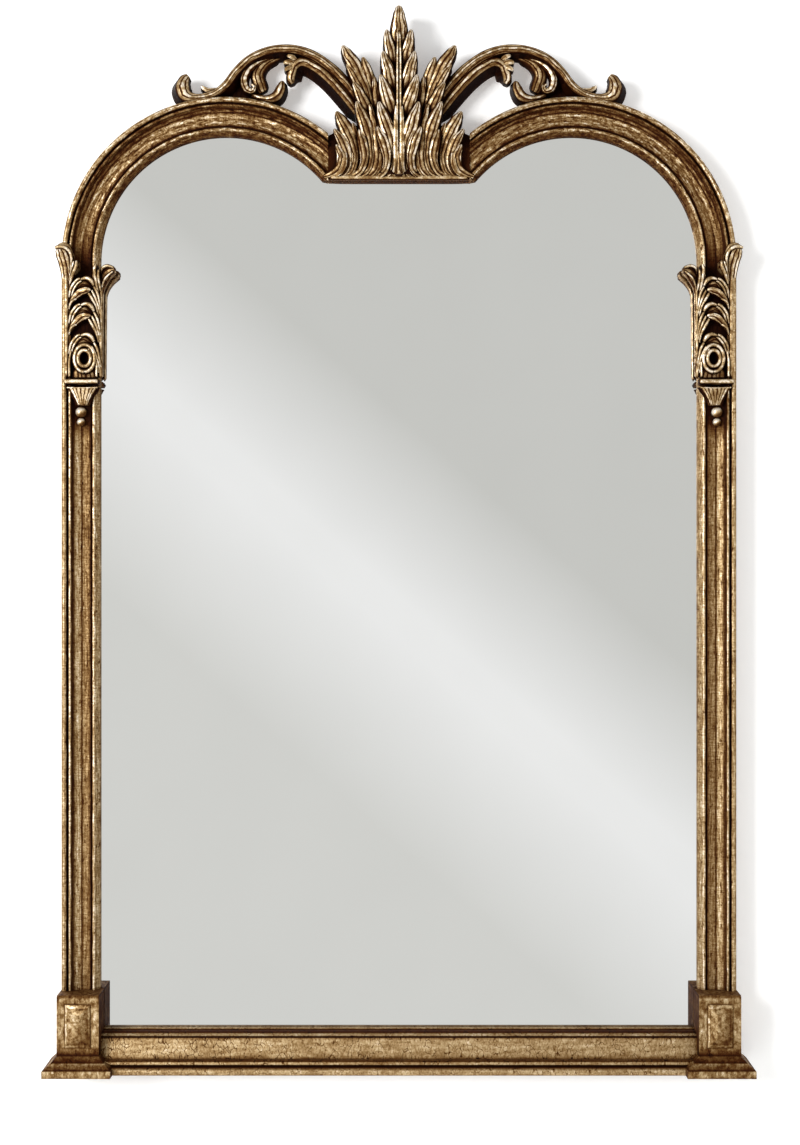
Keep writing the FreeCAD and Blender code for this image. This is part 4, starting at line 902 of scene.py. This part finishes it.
side_ground = [
    (26.0, 3.0, 24.0), (26.0, 8.0, 22.0), (22.0, 20.0, 19.0), (23.0, 45.0, 18.0), (28.0, 68.0, 14.0),
    (36.0, 88.0, 9.0),
]
side_petals = [
    [(20.0, 38.0, 5.0), (22.6, 54.0, 8.0), (26.4, 69.0, 10.0), (31.4, 83.0, 12.0), (38.0, 95.6, 12.4),
     (43.4, 104.0, 9.0), (46.6, 109.0, 4.8), (47.8, 110.8, 2.0)],
    [(20.6, 56.0, 4.0), (21.6, 70.0, 7.4), (24.4, 83.0, 9.6), (27.4, 92.4, 8.0), (29.6, 98.4, 4.4),
     (30.4, 101.4, 1.6)],
    [(17.8, 44.0, 4.0), (17.8, 57.0, 6.6), (18.6, 68.0, 7.8), (19.8, 76.6, 6.4), (20.5, 82.0, 3.8),
     (20.7, 84.8, 1.6)],
    [(24.4, 57.0, 4.6), (27.8, 67.0, 8.4), (32.4, 77.6, 10.4), (37.8, 86.6, 8.6), (42.0, 92.6, 4.6),
     (43.9, 95.4, 1.6)],
    [(21.6, 40.0, 4.6), (24.6, 51.0, 8.6), (28.8, 61.6, 11.0), (33.4, 71.0, 8.8), (36.8, 77.2, 4.8),
     (38.3, 80.4, 1.6)],
    [(34.0, 2.4, 6.4), (26.6, 7.4, 6.2), (23.4, 17.0, 7.0), (23.8, 29.0, 9.4), (27.0, 41.0, 12.4),
     (31.0, 51.6, 10.8), (34.2, 59.6, 6.0), (35.6, 64.2, 1.8)],
    [(40.0, 2.4, 6.0), (33.0, 6.4, 6.0), (29.6, 13.4, 7.0), (29.2, 21.6, 8.8), (30.8, 30.0, 8.4),
     (32.6, 36.4, 5.0), (33.4, 40.4, 1.8)],
    [(27.0, 2.4, 6.0), (20.4, 8.0, 6.0), (18.2, 18.0, 6.6), (18.6, 32.0, 7.0), (21.4, 48.0, 6.0),
     (25.0, 62.0, 3.0)],
    [(23.0, 2.4, 5.0), (16.6, 10.0, 5.0), (15.0, 22.0, 5.4), (15.4, 36.0, 5.6), (17.0, 52.0, 3.0)],
]
side_leaf = carve_leaf(mirrored(side_ground), [mirrored(petal) for petal in side_petals], SIDE_DEPTH, 0.88)
keep_pair(side_leaf, "side_leaf", "crest_leaf")

low_ground = [(48.0, 3.0, 22.0), (48.0, 8.0, 20.0), (44.0, 18.0, 16.0), (43.0, 34.0, 13.0)]
low_petals = [
    [(46.5, 2.4, 5.4), (39.6, 7.0, 5.6), (36.8, 17.0, 7.4), (38.8, 29.0, 11.4), (43.6, 40.0, 13.0),
     (48.4, 48.6, 10.0), (51.6, 54.0, 5.0), (52.9, 56.4, 2.0)],
    [(35.6, 18.0, 4.6), (36.0, 31.0, 7.0), (37.6, 40.4, 5.6), (39.2, 46.8, 1.8)],
    [(53.0, 2.4, 5.4), (46.0, 6.4, 5.6), (43.0, 14.6, 7.4), (44.8, 24.6, 9.8), (49.4, 33.2, 8.6),
     (53.0, 38.8, 4.6), (54.8, 41.6, 1.8)],
    [(64.0, 2.4, 4.0), (55.6, 5.6, 5.6), (49.8, 10.4, 7.8), (48.8, 17.6, 8.6), (50.8, 24.0, 5.8),
     (52.9, 28.6, 1.8)],
    [(59.0, 2.4, 4.8), (50.4, 5.4, 5.0), (46.2, 12.0, 5.4), (45.8, 22.0, 4.0)],
]
low_leaf = carve_leaf(mirrored(low_ground), [mirrored(petal) for petal in low_petals], LOW_DEPTH, 0.90)
keep_pair(low_leaf, "low_leaf", "crest_low_leaf")

# Mirror glass
# One sheet of silvered float glass, cut to the double arch. It lies on felt in the rabbet behind the
# frame's lip, and the backing board holds it there.


def mirror_material():
    material, tree, shader = new_material("silvered_glass")
    shader.inputs["Metallic"].default_value = 1.0
    haze = noise(tree, object_place(tree), 9.0, 2.0)
    feed(tree, shader.inputs["Base Color"], shades(tree, haze, [
        (0.3, (0.955, 0.96, 0.95)), (0.7, (0.975, 0.98, 0.97))]))
    feed(tree, shader.inputs["Roughness"], spread(tree, haze, 0.3, 0.7, 0.012, 0.020))
    return material


finish_cad(mirror_material(), "mirror_glass")

# Felt, soft sheet, backing board, dowels and bumpers
# Black felt tape under the lip, a grey card sheet behind the glass and a brown hardboard back. Beech
# dowels and pins hold the joints and the carvings, and rubber bumpers keep the frame off the wall.


def sheet_material(name, dark, light, scale, rough):
    material, tree, shader = new_material(name)
    fibres = noise(tree, object_place(tree), scale, 5.0, 0.7)
    feed(tree, shader.inputs["Base Color"], shades(tree, fibres, [(0.35, dark), (0.65, light)]))
    shader.inputs["Roughness"].default_value = rough
    bump = add_node(tree, "ShaderNodeBump")
    bump.inputs["Strength"].default_value = 0.25
    bump.inputs["Distance"].default_value = 0.0004
    feed(tree, bump.inputs["Height"], fibres)
    feed(tree, shader.inputs["Normal"], bump.outputs["Normal"])
    return material


finish_cad(sheet_material("black_felt", (0.010, 0.010, 0.011), (0.035, 0.034, 0.034), 1500.0, 0.95),
           "felt_tape")
finish_cad(sheet_material("grey_card", (0.34, 0.32, 0.29), (0.44, 0.42, 0.38), 500.0, 0.9), "cushion_sheet")
finish_cad(sheet_material("hardboard", (0.13, 0.070, 0.035), (0.24, 0.140, 0.075), 420.0, 0.7),
           "backing_board")
finish_cad(sheet_material("beech", (0.50, 0.33, 0.19), (0.62, 0.44, 0.27), 90.0, 0.6),
           "frame_dowels", "carving_pins")
finish_cad(sheet_material("black_rubber", (0.012, 0.012, 0.012), (0.030, 0.030, 0.030), 300.0, 0.8),
           "wall_bumpers")

# Plates, hangers, rings, turn buttons and screws on the back
# Zinc-plated steel braces over the joints, steel strap hangers with D-rings, and brass turn buttons.
# All are screwed to the back of the frame, and each button turns on its own screw.


def metal_material(name, dark, light, rough):
    material, tree, shader = new_material(name)
    place = object_place(tree)
    brush = noise(tree, stretched(tree, place, (60.0, 60.0, 2400.0)), 1.0, 3.0)
    stains = noise(tree, place, 160.0, 3.0)
    tone = calculate(tree, "MULTIPLY_ADD", brush, 0.4, times(tree, stains, 0.6))
    feed(tree, shader.inputs["Base Color"], shades(tree, tone, [(0.35, dark), (0.65, light)]))
    shader.inputs["Metallic"].default_value = 1.0
    feed(tree, shader.inputs["Roughness"], spread(tree, stains, 0.3, 0.7, rough, rough + 0.14))
    return material


steel = metal_material("zinc_steel", (0.42, 0.42, 0.43), (0.62, 0.62, 0.62), 0.32)
brass = metal_material("dull_brass", (0.44, 0.30, 0.11), (0.66, 0.48, 0.20), 0.30)
finish_cad(steel, "crest_plate", *both("corner_brace"), *both("stile_plate"), *both("hanger_strap"),
           *both("d_ring"), "plate_screws", "crest_screws", "turn_button_screws", "hanger_screws")
for name in ("lower", "upper", "arch", "rail"):
    finish_cad(brass, *both(name + "_turn_button"))

# Studio
# A white wall just behind the mirror, a pale floor well below it, soft light from both sides and a
# large card behind the camera, whose bright diagonal band shows in the glass.
WALL_Y = 6.0 * MM
WALL_SIZE = (2.4, 3.2)
FLOOR_Z = -0.75
FLOOR_SIZE = (8.0, 8.0)
CARD_SIZE = (4.0, 3.2)
CARD_PLACE = (0, -2.6, 0.45)
CARD_SLANT = 0.878
CARD_LOW = (0.65, 0.65, 0.63)
CARD_BAND = (0.84, 0.84, 0.84)
CARD_HIGH = (0.58, 0.58, 0.56)
LIGHT_AIM = (0, 0, 0.45)
CAMERA_PLACE = (0.0009, -1.8088, 0.4210)
LENS = 66.4


def stage_plane(name, size, place, turn, material):
    mesh = bpy.data.meshes.new(name)
    sheet = bmesh.new()
    bmesh.ops.create_grid(sheet, x_segments=1, y_segments=1, size=0.5)
    bmesh.ops.scale(sheet, vec=(size[0], size[1], 1.0), verts=sheet.verts)
    bmesh.ops.transform(sheet, matrix=Matrix.Translation(place) @ turn.to_4x4(), verts=sheet.verts)
    sheet.to_mesh(mesh)
    sheet.free()
    mesh.materials.append(material)
    plane = bpy.data.objects.new(name, mesh)
    bpy.context.scene.collection.objects.link(plane)
    return plane


def wall_material():
    material, tree, shader = new_material("white_wall")
    shader.inputs["Base Color"].default_value = (0.92, 0.92, 0.92, 1.0)
    shader.inputs["Roughness"].default_value = 0.9
    shader.inputs["Emission Color"].default_value = (1.0, 1.0, 1.0, 1.0)
    shader.inputs["Emission Strength"].default_value = 0.24
    clear = add_node(tree, "ShaderNodeBsdfTransparent")
    mix = add_node(tree, "ShaderNodeMixShader")
    behind = add_node(tree, "ShaderNodeNewGeometry").outputs["Backfacing"]
    shadow = add_node(tree, "ShaderNodeLightPath").outputs["Is Shadow Ray"]
    feed(tree, mix.inputs[0], calculate(tree, "MAXIMUM", behind, shadow))
    feed(tree, mix.inputs[1], shader.outputs["BSDF"])
    feed(tree, mix.inputs[2], clear.outputs["BSDF"])
    feed(tree, tree.nodes["Material Output"].inputs["Surface"], mix.outputs["Shader"])
    return material


def floor_material():
    material, tree, shader = new_material("pale_floor")
    shader.inputs["Base Color"].default_value = (0.82, 0.82, 0.81, 1.0)
    shader.inputs["Roughness"].default_value = 0.8
    return material


def card_material():
    material, tree, shader = new_material("studio_card")
    parts = axes(tree, object_place(tree))
    slant = calculate(tree, "MULTIPLY_ADD", parts["X"], CARD_SLANT, parts["Z"])
    share = calculate(tree, "ADD", slant, 0.2)
    glow = add_node(tree, "ShaderNodeEmission")
    feed(tree, glow.inputs["Color"], shades(tree, share, [
        (0.05, CARD_LOW), (0.48, CARD_BAND), (0.57, CARD_BAND), (0.95, CARD_HIGH),
    ]))
    feed(tree, tree.nodes["Material Output"].inputs["Surface"], glow.outputs["Emission"])
    return material


facing_camera = Matrix.Rotation(math.radians(90), 3, "X")
facing_mirror = Matrix.Rotation(math.radians(-90), 3, "X")
wall_place = (0, WALL_Y, FLOOR_Z + WALL_SIZE[1] / 2)
stage_plane("studio_wall", WALL_SIZE, wall_place, facing_camera, wall_material())
stage_plane("studio_floor", FLOOR_SIZE, (0, 0, FLOOR_Z), Matrix.Identity(3), floor_material())
card = stage_plane("studio_card", CARD_SIZE, CARD_PLACE, facing_mirror, card_material())
card.visible_camera = False

world = bpy.data.worlds.new("studio_air")
bpy.context.scene.world = world
world.use_nodes = True
world.node_tree.nodes["Background"].inputs["Color"].default_value = (1.0, 1.0, 1.0, 1.0)
world.node_tree.nodes["Background"].inputs["Strength"].default_value = 0.42


def soft_light(name, place, size, power):
    data = bpy.data.lights.new(name, "AREA")
    data.shape = "RECTANGLE"
    data.size, data.size_y = size
    data.energy = power
    lamp = bpy.data.objects.new(name, data)
    lamp.location = place
    lamp.rotation_euler = (Vector(LIGHT_AIM) - Vector(place)).to_track_quat("-Z", "Y").to_euler()
    bpy.context.scene.collection.objects.link(lamp)


soft_light("key_light", (-1.45, -1.95, 0.8), (0.8, 0.8), 54.0)
soft_light("side_light", (1.7, -1.3, 0.7), (0.7, 1.6), 9.0)
soft_light("back_light", (-1.2, 2.0, 1.6), (1.4, 1.4), 40.0)

camera_data = bpy.data.cameras.new("camera")
camera_data.sensor_fit = "VERTICAL"
camera_data.sensor_height = 36.0
camera_data.lens = LENS
camera = bpy.data.objects.new("camera", camera_data)
camera.location = CAMERA_PLACE
camera.rotation_euler = (math.radians(90), 0, 0)
bpy.context.scene.collection.objects.link(camera)
bpy.context.scene.camera = camera
bpy.context.scene.view_settings.view_transform = "Standard"
